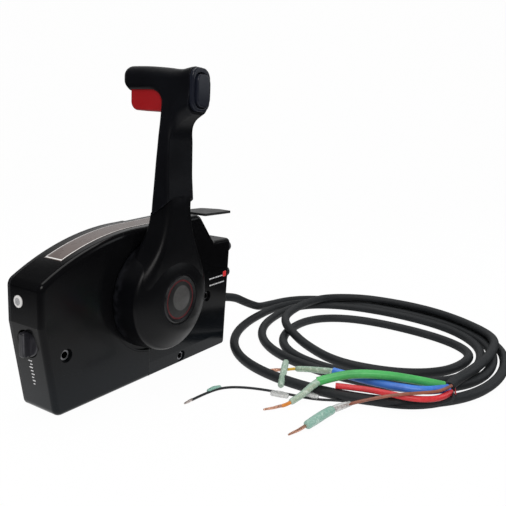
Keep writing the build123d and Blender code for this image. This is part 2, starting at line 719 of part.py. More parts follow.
def grip_cover():
    """Cover of the stem, neck, head and grip bar in one piece."""
    end = FRONT_Y + BAR_END
    cap = []
    for angle in (25, 50, 75):
        inset = BAR_END_R * (1 - sin(radians(angle)))
        back = BAR_END_R * (1 - cos(radians(angle)))
        cap.append(bar_section(end - back, BAR_Z + 1.0, BAR_HALF - inset, BAR_HIGH - inset))
    bar = loft(
        cap
        + [
            bar_section(FRONT_Y + 22, BAR_Z, BAR_HALF, BAR_HIGH),
            bar_section(FRONT_Y - 6, BAR_Z - 1.0, BAR_HALF + 0.2, BAR_HIGH),
            bar_section(FRONT_Y - 24, BAR_Z - 4.6, BAR_HALF + 1.0, BAR_HIGH + 3.2),
            bar_section(HEAD_Y + 9, HEAD_Z + 0.4, HEAD_HALF, HEAD_HIGH - 0.4),
            bar_section(HEAD_Y, HEAD_Z, HEAD_HALF, HEAD_HIGH),
        ]
    )
    neck = loft(
        [
            stem_at(GRIP_NECK_Z, GRIP_PROUD),
            stem_section(GRIP_NECK_Z + 20, STEM_TOP_HALF + 0.6, STEM_Y - 3.0, FRONT_Y - 11.5, STEM_R),
            stem_section(GRIP_NECK_Z + 33, HEAD_HALF, STEM_Y - 9.5, FRONT_Y - 8.0, STEM_R),
            stem_section(GRIP_NECK_Z + 44, HEAD_HALF - 0.5, HEAD_Y + 1.5, FRONT_Y - 2.0, STEM_R),
            stem_section(GRIP_NECK_Z + 52, HEAD_HALF - 1.0, HEAD_Y + 1.0, FRONT_Y + 8.0, STEM_R),
        ]
    )
    sleeve = loft([stem_at(GRIP_LOW_Z, GRIP_PROUD), stem_at(GRIP_NECK_Z, GRIP_PROUD)], ruled=True)
    body = bar + neck + (sleeve & grip_cut())
    body -= core(GRIP_LOW_Z - GAP, STEM_TOP_Z + GAP, GRIP_CORE - SEAT)
    body -= rod_z(0, ROD_Y, ROD_R + GAP, GRIP_LOW_Z, TONGUE_Z)
    # slot for the trigger and its tongue, with the room above for its travel
    low = TRIGGER_Z - 2.0
    rest_top = BAR_Z - BAR_HIGH + 2.0
    roof = rest_top + TRIGGER_TRAVEL + TRIGGER_CLEAR
    corner = (Align.MIN, Align.MIN)
    slot = Rectangle(TRIGGER_REAR_Y + 2 * TRIGGER_CLEAR - TRIGGER_FRONT_Y, roof - low, align=corner)
    wide = TRIGGER_HALF + GAP
    body -= slab_x(Pos(TRIGGER_FRONT_Y - TRIGGER_CLEAR, low) * slot, -wide, wide)
    tongue_long = TRIGGER_FRONT_Y - ROD_Y + TONGUE_END + GAP
    tongue_room = Rectangle(tongue_long, TONGUE_T + TRIGGER_TRAVEL + 2 * TRIGGER_CLEAR, align=corner)
    wide = TONGUE_HALF + GAP
    body -= slab_x(Pos(ROD_Y - TONGUE_END - GAP, TONGUE_Z - TRIGGER_CLEAR) * tongue_room, -wide, wide)
    body -= rod_z(0, ROD_Y, SPRING_R + GAP, TONGUE_Z, SPRING_ROOF)
    # recess for the switch bezel and the rocker behind it
    centre = Pos(0, HEAD_Z)
    body -= slab(centre * stadium(BEZEL_HALF + GAP / 3, BEZEL_HIGH + GAP / 3), HEAD_Y - 1, HEAD_Y + BEZEL_T)
    well = stadium(ROCKER_HALF + 2 * GAP, ROCKER_HIGH + ROCKER_CLEAR)
    return body - slab(centre * well, HEAD_Y - 1, HEAD_Y + ROCKER_WELL)


def stadium(half, high):
    """Upright oval with straight sides."""
    return RectangleRounded(2 * half, 2 * high, half * 0.97)


def trigger():
    """Neutral-lock trigger with the tongue that lifts the lock rod."""
    top = BAR_Z - BAR_HIGH + 2.0
    rear = TRIGGER_REAR_Y
    low = TRIGGER_Z
    side = make_face(
        Polyline(
            (TRIGGER_FRONT_Y, low),
            (rear - 11, low + 1.6),
            (rear, low + 3),
            (rear, top),
            (TRIGGER_FRONT_Y, top),
            close=True,
        )
    )
    side = fillet(nearest_vertex(side, rear, low + 3), 8)
    body = slab_x(side, -TRIGGER_HALF, TRIGGER_HALF)
    lower = []
    for edge in body.edges():
        middle = edge.center()
        on_side = abs(abs(middle.X) - TRIGGER_HALF) < 0.01
        if on_side and middle.Z < top - 4 and middle.Y > TRIGGER_FRONT_Y + 1:
            lower.append(edge)
    body = fillet(lower, 2.0)
    tongue_long = TRIGGER_FRONT_Y - ROD_Y + TONGUE_END + 1
    tongue = Rectangle(tongue_long, TONGUE_T, align=(Align.MIN, Align.MIN))
    body += slab_x(Pos(ROD_Y - TONGUE_END, TONGUE_Z) * tongue, -TONGUE_HALF, TONGUE_HALF)
    return body - rod_z(0, ROD_Y, ROD_R + SEAT, 0, 2 * BAR_Z)


def lock_rod():
    """Rod from the trigger's tongue down to the lock ring."""
    tongue_top = TONGUE_Z + TONGUE_T
    rod = rod_z(0, ROD_Y, ROD_R, HUB_Z + LOCK_RING_R + 1.0, tongue_top)
    return rod + rod_z(0, ROD_Y, ROD_R + 1.0, tongue_top, tongue_top + 1.0)


def trigger_spring():
    """Room of the coil spring that pushes the trigger down."""
    z0 = TONGUE_Z + TONGUE_T + GAP
    tube = Circle(SPRING_R) - Circle(ROD_R + 1.2)
    return Pos(0, ROD_Y, z0) * extrude(tube, SPRING_ROOF - GAP - z0)


def lock_ring():
    """Fixed ring round the front bush with the neutral notch on top."""
    face = Circle(LOCK_RING_R) - Circle(BUSH_R + 8.0)
    face -= Pos(0, LOCK_RING_R) * Rectangle(2 * ROD_R + 1.2, 8.0)
    return slab(Pos(0, HUB_Z) * face, FRONT_Y - LOCK_RING_OUT, POCKET_Y)


def switch_bezel():
    """Oval bezel round the rocker, with the sockets of its trunnions."""
    plate = slab(Pos(0, HEAD_Z) * stadium(BEZEL_HALF, BEZEL_HIGH), HEAD_Y - 1.2, HEAD_Y + BEZEL_T - SEAT)
    rim = plate.faces().sort_by(Axis.Y)[0].edges()
    plate = fillet(rim, 1.6)
    window = stadium(ROCKER_HALF + GAP, ROCKER_HIGH + ROCKER_CLEAR)
    plate -= slab(Pos(0, HEAD_Z) * window, HEAD_Y - 3, HEAD_Y + BEZEL_T)
    reach = ROCKER_HALF + TRUNNION_OUT + GAP
    return plate - rod_x(TRUNNION_Y, HEAD_Z, TRUNNION_R + RUN, -reach, reach)


def trim_rocker():
    """Rocker of the trim switch with its two trunnions."""
    front = HEAD_Y - ROCKER_PROUD
    body = slab(Pos(0, HEAD_Z) * stadium(ROCKER_HALF, ROCKER_HIGH), front, HEAD_Y + ROCKER_DEEP)
    body = fillet(body.faces().sort_by(Axis.Y)[0].edges(), 2.2)
    reach = ROCKER_HALF + TRUNNION_OUT
    return body + rod_x(TRUNNION_Y, HEAD_Z, TRUNNION_R, -reach, reach)


# ---------------------------------------------------------------- free-throttle lever
def free_throttle_lever():
    """Pressed lever: eye on the hub axis, arm in the back pocket and the tab over the right shoulder."""
    y_rear = FREE_BACK_Y
    y_front = y_rear - FREE_T
    knee = (TAB_LEFT + 10.0, TAB_Z)
    length = sqrt(knee[0] ** 2 + (knee[1] - HUB_Z) ** 2)
    bar = Rectangle(length, 2 * FREE_HALF, align=(Align.MIN, Align.CENTER))
    bar = Pos(0, HUB_Z) * Rot(0, 0, FREE_ANGLE) * bar
    arm = bar + Pos(0, HUB_Z) * Circle(FREE_EYE_R)
    below_tab = Pos(0, TAB_Z + TAB_T - DOME_R * 2) * Rectangle(4 * PEAK_X, 4 * DOME_R)
    plate = slab(arm & below_tab, y_front, y_rear)
    plate -= disc(0, HUB_Z, FREE_STUD_R + RUN, y_front, y_rear)
    tab = Plane.XY.offset(TAB_Z) * make_face(
        FilletPolyline(
            (TAB_LEFT, FRONT_Y + TAB_FRONT),
            (TAB_RIGHT, FRONT_Y + TAB_FRONT - 1.0),
            (TAB_RIGHT + 2.0, FRONT_Y + TAB_FRONT + 18),
            (TAB_RIGHT - 8.0, y_rear - 1.0),
            (TAB_LEFT + 26.0, y_rear),
            (TAB_LEFT, y_rear),
            radius=[1.5, 1.5, 10, 6, 4, 1],
            close=True,
        )
    )
    return plate + extrude(tab, TAB_T)


def free_throttle_stud():
    """Headed stud that carries the free-throttle lever."""
    stud = disc(0, HUB_Z, FREE_STUD_R, PAD_Y + SEAT, FREE_BACK_Y + GAP)
    return stud + disc(0, HUB_Z, FREE_STUD_R + 3.0, FREE_BACK_Y + GAP, BACK_Y - GAP / 2)


# ---------------------------------------------------------------- left end
def friction_knob():
    """Knob in the left end's cup, with an upright finger bar."""
    body = rod_x(0, KNOB_Z, KNOB_R, KNOB_FACE_X, -END_LEFT + KNOB_CUP_D - GAP)
    body = chamfer(body.faces().sort_by(Axis.X)[0].edges(), 0.8)
    bar = Pos(0, KNOB_Z) * RectangleRounded(2 * KNOB_BAR_HALF, 2 * KNOB_R - 1.5, 2.0)
    grip = slab_x(bar, KNOB_FACE_X - KNOB_BAR_OUT, KNOB_FACE_X)
    body += fillet(grip.faces().sort_by(Axis.X)[0].edges(), 1.6)
    return body - rod_x(0, KNOB_Z, FRICTION_R + SEAT, KNOB_FACE_X + 2.0, -END_LEFT + KNOB_CUP_D)


def friction_parts():
    """Screw from the knob, and the shoe that it presses on the throttle's brake disc."""
    place = stud_places()[0]
    disc_left = place[0] - BRAKE_R
    shoe_left = disc_left - SHOE_LENGTH
    screw_end = shoe_left + 5.0
    screw = rod_x(0, KNOB_Z, FRICTION_R, KNOB_FACE_X + 2.0 + GAP, screw_end)
    jaw = Pos(GEAR_BACK_Y + ARM_T / 2, KNOB_Z) * Rectangle(ARM_T + 6.0, SHOE_HIGH)
    shoe = slab_x(jaw, shoe_left, disc_left + 4.0)
    shoe -= disc(*place, BRAKE_R + GAP, GEAR_Y, COLLAR_END_Y + GAP * 2)
    shoe -= disc(*place, ARM_PITCH_R + MODULE + GAP, GEAR_Y - 5, GEAR_BACK_Y)
    shoe -= rod_x(0, KNOB_Z, FRICTION_R + RUN, shoe_left, screw_end + RUN)
    foot = Pos(shoe_left + 4.0, KNOB_Z) * Rectangle(8.0, SHOE_HIGH)
    return screw, shoe + slab(foot, COLLAR_END_Y + 3.0, PARTING_Y)


def indicator_lens():
    """Pale round lens in the left end."""
    lens = rod_x(LENS_Y, LENS_Z, LENS_R, -END_LEFT - 0.9, -END_LEFT + 2 * WALL)
    return fillet(lens.faces().sort_by(Axis.X)[0].edges(), 0.6)


# ---------------------------------------------------------------- right end
def end_x(z):
    """The right end's X at a height."""
    return BASE_RIGHT + (SHELF_X - BASE_RIGHT) * z / SHELF_Z


def round_switch(z, body_r, nut_r, depth):
    """Body inside the right end and the nut outside it."""
    x = end_x(z)
    tilt = degrees((SHELF_X - BASE_RIGHT) / SHELF_Z)
    body = rod_x(0, z, body_r, x - depth, x + SWITCH_OUT + 1.0)
    body += rod_x(0, z, body_r + 2.0, x - depth, x - 2 * WALL - 1.0)
    nut = rod_x(0, z, nut_r, x - 1.5, x + SWITCH_OUT)
    nut = chamfer(nut.faces().sort_by(Axis.X)[-1].edges(), 1.0)
    nut -= rod_x(0, z, body_r + SEAT, x - 2.0, x + SWITCH_OUT)
    outside = slab_x(Pos(0, z) * Rectangle(4 * nut_r, 4 * nut_r), 0, 4 * nut_r)
    nut &= Pos(x + GAP / 2, 0, z) * Rot(0, tilt, 0) * Pos(0, 0, -z) * outside
    return body, nut


def key_switch():
    """Ignition switch: body, nut and the barrel that turns."""
    body, nut = round_switch(KEY_Z, KEY_BODY_R, KEY_R, KEY_DEPTH)
    x = end_x(KEY_Z)
    seat = x - 8.0
    body -= rod_x(0, KEY_Z, BARREL_R + RUN, seat, x + BARREL_OUT)
    barrel = rod_x(0, KEY_Z, BARREL_R, seat + GAP, x + BARREL_OUT)
    barrel = chamfer(barrel.faces().sort_by(Axis.X)[-1].edges(), 0.8)
    slot = Pos(0, KEY_Z) * Rectangle(2.4, 9.0)
    return body, nut, barrel - slab_x(slot, x + BARREL_OUT - 5, x + BARREL_OUT)


def stop_switch():
    """Stop switch: body, nut and the button that is pulled and pushed."""
    body, nut = round_switch(STOP_Z, STOP_BODY_R, STOP_R, STOP_DEPTH)
    x = end_x(STOP_Z)
    seat = x - 9.0
    body -= rod_x(0, STOP_Z, PLUNGER_R + RUN, seat, x + BARREL_OUT)
    neck = x + SWITCH_OUT + 1.0 + STOP_TRAVEL + GAP
    head = Plane.YZ.offset(neck) * Pos(0, STOP_Z) * Circle(STOP_R - 3.0)
    tip = Plane.YZ.offset(x + BARREL_OUT + 1.5) * Pos(0, STOP_Z) * Circle(STOP_R - 5.2)
    button = loft([head, tip], ruled=True)
    button = fillet(button.faces().sort_by(Axis.X)[-1].edges(), 1.0)
    return body, nut, button + rod_x(0, STOP_Z, PLUNGER_R, seat + STOP_TRAVEL + GAP, neck)


def harness_grommet():
    """Rubber grommet with a tapered strain relief."""
    x = end_x(HARNESS_Z)
    lead = HARNESS_D / 2
    flange = x - WALL - GAP - 0.6
    outer = [
        (flange - 2.0, 0),
        (flange - 2.0, GROMMET_R + 2.0),
        (flange, GROMMET_R + 2.0),
        (flange, GROMMET_R),
        (x + 0.6, GROMMET_R),
        (x + 0.6, GROMMET_R + 2.2),
        (x + 3.6, GROMMET_R + 1.0),
        (x + GROMMET_OUT, lead + 0.9),
        (x + GROMMET_OUT, 0),
    ]
    face = make_face(Polyline(*outer, close=True))
    return Pos(0, 0, HARNESS_Z) * revolve(face, Axis.X)


# ---------------------------------------------------------------- inner parts on the back housing
def detent_parts():
    """Roller over the neutral notch and the leaf spring that holds it."""
    centre = HUB_Z + COLLAR_R + ROLLER_R + GAP
    y0 = GEAR_BACK_Y + GAP
    roller = disc(0, centre, ROLLER_R, y0, COLLAR_END_Y)
    z = centre + ROLLER_R + GAP
    leaf = Pos(-LEAF_LENGTH / 2 + 6.0, z + LEAF_T / 2) * Rectangle(LEAF_LENGTH, LEAF_T)
    post = Pos(10.0 - LEAF_LENGTH, z + LEAF_T + 4.0) * Rectangle(8.0, 8.0)
    spring = slab(leaf, y0, COLLAR_END_Y) + slab(post, y0, PARTING_Y)
    return roller, spring


def neutral_switch():
    """Start-in-neutral switch with its plunger beside the detent collar."""
    x, z = polar(COLLAR_R + 5.0, 150, 0, HUB_Z)
    case = Pos(x - 13.0, z + 3.0) * Rectangle(16.0, 9.0)
    tip = Pos(x - 1.5, z) * Rectangle(8.0, 2.4)
    return slab(case, COLLAR_END_Y + 1.0, PARTING_Y) + slab(tip, COLLAR_END_Y - 1.0, COLLAR_END_Y + 2.0)


def warning_buzzer():
    """Overheat and oil warning buzzer."""
    y_from = PARTING_Y - BUZZER_H
    can = disc(*BUZZER_XZ, BUZZER_R, y_from, PARTING_Y)
    return can - disc(*BUZZER_XZ, 2.0, y_from, y_from + 3.0)


def cable_anchor():
    """Block that clamps the two control cables by their grooves."""
    x_from = PORT_X + PORT_W / 2 + 4.0
    x_to = x_from + ANCHOR_W
    face = COLLAR_END_Y + 4.0
    body = slab(Pos((x_from + x_to) / 2, PORT_Z) * Rectangle(ANCHOR_W, PORT_H), face, PARTING_Y)
    for z in (PORT_Z - 5.0, PORT_Z + 5.0):
        body -= rod_x(face, z, CABLE_GROOVE_R, x_from, x_to)
    return body


# ---------------------------------------------------------------- harness and leads
LEAD_POINTS = [
    (153.6, 0.0, 51.0),
    (178.0, -1.6, 46.8),
    (206.0, -1.0, 33.5),
    (240.0, 4.6, 20.0),
    (271.0, 14.2, 9.6),
    (300.0, 16.5, 5.9),
]
COIL_OUTER = [
    (300, 22), (352, 13), (394, -22), (418, -82), (423.5, -150), (408, -232), (364, -298), (304, -335),
    (240, -341), (190, -330), (150, -318), (122, -294), (94, -258), (77, -217), (68, -179), (65, -150),
    (69, -122), (82, -86), (108, -50), (140, -24), (185, -4), (240, 12),
]
COIL_INNER = [
    (158, -122), (149, -160), (154, -205), (180, -245), (225, -268), (270, -268), (300, -240),
    (316, -187), (308, -138), (284, -103), (245, -82), (200, -82), (174, -98),
]
LEAD_BAY = [(150, 4), (297, 4), (297, 30), (150, 30)]
LEAD_BRIDGE = [(150, -9), (297, -9), (297, 30), (150, 30)]
LEADS_BAY = [
    (134, -350), (134, -284), (128, -230), (119, -170), (112, -136), (50, -136), (20, -150), (20, -350),
]
GREEN_POINTS = [
    (135.5, -296, 18.6), (120, -273, 22), (103, -246, 25.2), (88, -221, 25.7), (76, -201, 22), (64, -184, 16),
]
BLUE_POINTS = [
    (135.5, -306, 16.4), (113, -292, 16.4), (103, -266, 16), (100, -240, 15.8), (99, -214, 15.6),
    (100, -188, 15.6),
]
RED_POINTS = [
    (135.5, -314.5, 14.2), (107, -301, 14.2), (88, -279, 14.4), (83, -252, 14.8), (80, -225, 14.6),
    (70, -200, 14.2),
]
BLACK_POINTS = [
    (135.5, -306, 24.6), (113, -311, 21.5), (93, -301, 14.5), (84, -279, 7), (79, -256, 2.4), (73, -233, 2),
    (65, -210, 2), (53, -188, 2), (47, -164, 2), (42, -140, 2), (32, -118, 2), (17, -102, 2), (-4, -96, 2),
    (-25, -94, 2),
]
BROWN_POINTS = [
    (135.5, -300, 24.4), (112, -299, 22), (90, -281, 20), (75, -258, 17.5), (66, -234, 11), (48, -219, 5.4),
]

SLEEVES = {
    "green_sleeve": ((65, -185, 15.6), (25, -176, 5.2), 8.4),
    "blue_sleeve": ((99.7, -189, 15.4), (97, -145, 14.6), 7.0),
    "teal_sleeve": ((51, -221, 6.2), (-6, -210, 5.0), 9.0),
}


def cord_radii(points, name):
    """Bend radius at each inner point: 0.45 of the shorter run over the tangent of half the turn."""
    radii = []
    vectors = [Vector(*p) for p in points]
    for a, b, c in zip(vectors, vectors[1:], vectors[2:]):
        turn = (b - a).get_angle(c - b)
        radii.append(0.45 * min((b - a).length, (c - b).length) / tan(radians(turn / 2)))
    print(name, "runs", [round((b - a).length) for a, b in zip(vectors, vectors[1:])])
    print(name, "radii", [round(r) for r in radii])
    return radii


def cord(points, d, name):
    """Tube along straight runs joined by tangent arcs."""
    path = FilletPolyline(*points, radius=cord_radii(points, name))
    start = Plane(origin=points[0], z_dir=Vector(*points[1]) - Vector(*points[0]))
    tube = sweep(start * Circle(d / 2), path=path)
    full = pi * d ** 2 / 4 * path.length
    print(name, "length", round(path.length, 1), "volume share", round(tube.volume / full, 4))
    return tube


def bay(points, z_from):
    """Upright room cut out of the coil from a height upwards."""
    return Pos(0, 0, z_from) * extrude(make_face(Polyline(*points, close=True)), 2 * COIL_HIGH)


def harness_coil():
    """Outer shape of the loose turns on the floor; leads and lead-in lie on the lowest turn."""
    outer = make_face(Spline(*COIL_OUTER, periodic=True))
    inner = make_face(Spline(*COIL_INNER, periodic=True))
    layer = HARNESS_D - GAP
    body = extrude(outer - inner, COIL_HIGH) - bay(LEAD_BAY, 0)
    return body - bay(LEAD_BRIDGE, layer) - bay(LEADS_BAY, layer)


def sleeve(start, end, d):
    """Shrunk sleeve on the end of a lead."""
    axis = Vector(*end) - Vector(*start)
    return extrude(Plane(origin=start, z_dir=axis) * Circle(d / 2), axis.length)


def main():
    """Build and write every node."""
    left, right = front_covers()
    save(left, "front_cover_left")
    save(right, "front_cover_right")
    save(back_housing(), "back_housing")
    save(Compound(children=mounting_sleeves()), "mounting_sleeves")
    save(Compound(children=cover_screws()), "cover_screws")
    front_bush, rear_bush = shaft_bushes()
    save(front_bush, "shaft_bush_front")
    save(rear_bush, "shaft_bush_rear")
    save(lock_ring(), "neutral_lock_ring")
    save(Compound(children=gear_studs()), "gear_studs")
    roller, spring = detent_parts()
    save(roller, "detent_roller")
    save(spring, "detent_spring")
    save(neutral_switch(), "neutral_switch")
    save(warning_buzzer(), "warning_buzzer")
    save(cable_port_plate(), "cable_port_plate")
    save(cable_anchor(), "cable_anchor")
    screw, shoe = friction_parts()
    save(screw, "friction_screw")
    save(shoe, "friction_shoe")
    save(friction_knob(), "friction_knob")
    save(indicator_lens(), "indicator_lens")
    body, nut, barrel = key_switch()
    save(body, "key_switch_body")
    save(nut, "key_switch_nut")
    save(barrel, "key_barrel")
    body, nut, button = stop_switch()
    save(body, "stop_switch_body")
    save(nut, "stop_switch_nut")
    save(button, "stop_button")
    save(harness_grommet(), "harness_grommet")
    save(free_throttle_stud(), "free_throttle_stud")
    save(free_throttle_lever(), "free_throttle_lever")
    save(lever_arm(), "lever_arm")
    save(grip_cover(), "grip_cover")
    cap, red, button, bolt = hub_parts()
    save(cap, "hub_cap_ring")
    save(red, "hub_red_ring")
    save(button, "hub_disc")
    save(bolt, "hub_bolt")
    save(main_shaft(), "main_shaft")
    save(drive_gear(), "drive_gear")
    save(switch_bezel(), "switch_bezel")
    save(trim_rocker(), "trim_rocker")
    save(trigger(), "neutral_trigger")
    save(lock_rod(), "lock_rod")
    save(trigger_spring(), "trigger_spring")
    save(throttle_gear(), "throttle_gear")
    save(shift_gear(), "shift_gear")
    left_stud, right_stud = stud_places()
    save(clevis_pin(left_stud), "throttle_clevis_pin")
    save(clevis_pin(right_stud), "shift_clevis_pin")
    save(cord(LEAD_POINTS, HARNESS_D, "harness_lead"), "harness_lead")
    save(harness_coil(), "harness_coil")
    save(cord(GREEN_POINTS, GREEN_D, "green_lead"), "green_lead")
    save(cord(BLUE_POINTS, BLUE_D, "blue_lead"), "blue_lead")
    save(cord(RED_POINTS, RED_D, "red_lead"), "red_lead")
    save(cord(BLACK_POINTS, BLACK_D, "black_lead"), "black_lead")
    save(cord(BROWN_POINTS, BROWN_D, "brown_lead"), "brown_lead")
    for name, (start, end, d) in SLEEVES.items():
        save(sleeve(start, end, d), name)


main()
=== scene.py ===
"""Side-mount engine control: camera, finishes, harness and leads, pieces that dress the solids, and stage."""

import json
from math import cos, pi, radians, sin

import bpy
import numpy as np
from mathutils import Matrix, Vector

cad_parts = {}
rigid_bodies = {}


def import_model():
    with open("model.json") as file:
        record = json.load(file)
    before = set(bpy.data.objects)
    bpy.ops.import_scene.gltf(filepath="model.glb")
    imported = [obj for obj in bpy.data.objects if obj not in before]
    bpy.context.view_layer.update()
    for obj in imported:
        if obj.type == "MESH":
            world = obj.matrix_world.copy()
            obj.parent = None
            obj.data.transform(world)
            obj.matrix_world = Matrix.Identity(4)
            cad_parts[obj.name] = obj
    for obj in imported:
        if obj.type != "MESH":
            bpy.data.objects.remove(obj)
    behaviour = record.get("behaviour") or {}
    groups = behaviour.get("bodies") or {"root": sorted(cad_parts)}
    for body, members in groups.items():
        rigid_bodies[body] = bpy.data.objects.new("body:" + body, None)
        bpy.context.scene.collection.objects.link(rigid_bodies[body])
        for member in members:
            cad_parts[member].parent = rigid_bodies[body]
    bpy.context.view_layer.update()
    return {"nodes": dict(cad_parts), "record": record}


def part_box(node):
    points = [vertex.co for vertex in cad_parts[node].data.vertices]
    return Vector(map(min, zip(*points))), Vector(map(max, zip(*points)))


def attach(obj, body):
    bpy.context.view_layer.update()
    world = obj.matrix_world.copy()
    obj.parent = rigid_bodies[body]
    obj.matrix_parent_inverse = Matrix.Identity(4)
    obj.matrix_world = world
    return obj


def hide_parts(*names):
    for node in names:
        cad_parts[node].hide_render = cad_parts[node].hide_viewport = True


for left_over in list(bpy.data.objects):
    bpy.data.objects.remove(left_over)

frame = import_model()
MM = 0.001

# ---------------------------------------------------------------- places and sizes, in millimetres
CAMERA_AT = (-442.58, -420.79, 253.04)
AZIMUTH, RISE, ROLL = -57.697, 11.035, 2.808     # degrees
LENS, SENSOR = 41.48, 36.0
FACE_Y = -22.5            # face plane of the box
HUB_Z = 90.8              # pivot axis of the lever
DISC_RISE = 2.0           # how far the hub disc's grey round lies above the axis
DISC_SHADE_RIM = (12.5, 13.1)   # radii between which that grey turns to a painted black shade crescent
LENS_AT = (7.0, 106.0)    # middle of the lamp on the left end, as (Y, Z)
LENS_RIM = (3.1, 3.7)     # radii between which its glass turns into the bezel
END_X = -140.6            # upright left end
END_BEND_Z = 86.0         # below this the left end slopes inwards
END_SLOPE = 0.164
# top of the box, as (X, Z): an arc through three points, then a straight
CROWN = ((END_X, 123.0), (-80.0, 151.0), (-13.0, 161.8), (74.5, 167.2))
HARNESS_D = 11.0
FLOOR_STRAND_Z = 5.6      # axis of a strand that lies on the floor
CROSSING_Z = 17.0         # axis of a strand that lies on another
BULGE = 0.88              # exponent of the quarters of a turn, below 1 for fuller corners

# lead-in of the harness, from its grommet to the floor
LEAD_IN = [
    (153.6, 0, 51), (178, -1.6, 46.8), (206, -1.0, 33.5), (240, 4.6, 20), (271, 14.2, 9.6), (300, 16.5, 5.9),
]
# outermost points of the loose turns, in order: right, near, left, far
REACHES = [
    (417, -150), (240, -333), (63, -160), (280, 2.5),
    (404, -150), (245, -319), (113, -172), (292, -17),
    (388, -155), (245, -305), (125, -172), (245, -64),
    (329, -165), (262, -290), (150, -165),
]
# last strand, which climbs over the inner turn and ends cut square
CLIMB = [(173, -114, 8), (190, -85, 14), (205, -67, 17.5), (235, -50, 17.5)]
OVER = [
    (280, -42), (330, -42), (366, -52), (399, -90), (409, -132), (409, -182), (394, -232), (358, -283),
    (325, -307), (272, -312), (228, -310), (185, -304), (146, -296), (134, -298),
]
TAIL = CLIMB + [(x, y, CROSSING_Z) for x, y in OVER]
# leads, from the sheath's end outwards
GREEN = [
    (133, -293, 18), (120, -271, 22), (103, -244, 25.8), (88, -219, 26), (76, -200, 22), (64, -185, 16),
]
BLUE = [
    (133, -297, 16.5), (113, -285, 16.6), (103, -258, 16.4), (99, -235, 16.6), (99, -213, 16),
    (100, -186, 15.6),
]
RED = [
    (133, -300, 13.5), (110, -299, 14), (89, -277, 14.5), (85, -252, 15), (80, -227, 14.8), (71, -202, 13.8),
]
BLACK = [
    (133, -302, 13.5), (116, -309, 12.5), (99, -298, 10), (89, -277, 5), (82, -252, 2.2), (76, -228, 1.6),
    (66, -208, 1.6), (53, -188, 1.6), (48, -165, 1.6), (43, -143, 1.6), (34, -119, 1.6), (20, -101, 1.6),
    (-3, -95, 1.6), (-24, -94, 1.6),
]
BROWN = [
    (133, -300, 20), (114, -296, 19.5), (94, -281, 20.6), (78, -260, 18.4), (67, -238, 11), (52, -222, 6.2),
    (30, -213.6, 5.2), (8, -211.3, 5),
]


# ---------------------------------------------------------------- camera
def place_camera():
    """Camera whose back axis comes from an azimuth and a rise, then rolled about it."""
    azimuth, rise, roll = radians(AZIMUTH), radians(RISE), radians(ROLL)
    back = Vector((sin(azimuth) * cos(rise), -cos(azimuth) * cos(rise), sin(rise)))
    level = (-back).cross(Vector((0, 0, 1))).normalized()
    upright = level.cross(-back)
    right = level * cos(roll) + upright * sin(roll)
    up = upright * cos(roll) - level * sin(roll)
    data = bpy.data.cameras.new("camera")
    data.sensor_width = SENSOR
    data.lens = LENS
    data.clip_start, data.clip_end = 0.01, 50.0
    camera = bpy.data.objects.new("camera", data)
    bpy.context.scene.collection.objects.link(camera)
    turn = Matrix((right, up, back)).transposed().to_4x4()
    camera.matrix_world = Matrix.Translation(Vector(CAMERA_AT) * MM) @ turn
    bpy.context.scene.camera = camera


place_camera()


# ---------------------------------------------------------------- finishes
class Value:
    """Socket that takes part in arithmetic: each operator adds one Math node."""

    def __init__(self, finish, socket):
        self.finish = finish
        self.socket = socket

    def _math(self, operation, first, second):
        return self.finish.node("ShaderNodeMath", {"operation": operation}, {0: first, 1: second})

    def __add__(self, other):
        return self._math("ADD", self, other)

    __radd__ = __add__

    def __sub__(self, other):
        return self._math("SUBTRACT", self, other)

    def __rsub__(self, other):
        return self._math("SUBTRACT", other, self)

    def __mul__(self, other):
        return self._math("MULTIPLY", self, other)

    __rmul__ = __mul__

    def __pow__(self, other):
        return self._math("POWER", self, other)

    def clamped(self, low, high):
        """Smooth step from 0 at low to 1 at high."""
        settings = {"interpolation_type": "SMOOTHSTEP"}
        values = {"Value": self, "From Min": low, "From Max": high}
        return self.finish.node("ShaderNodeMapRange", settings, values)

    def size(self):
        """Distance from zero."""
        return self._math("ABSOLUTE", self, 0.0)

    def at_least(self, other):
        """Larger of the two."""
        return self._math("MAXIMUM", self, other)


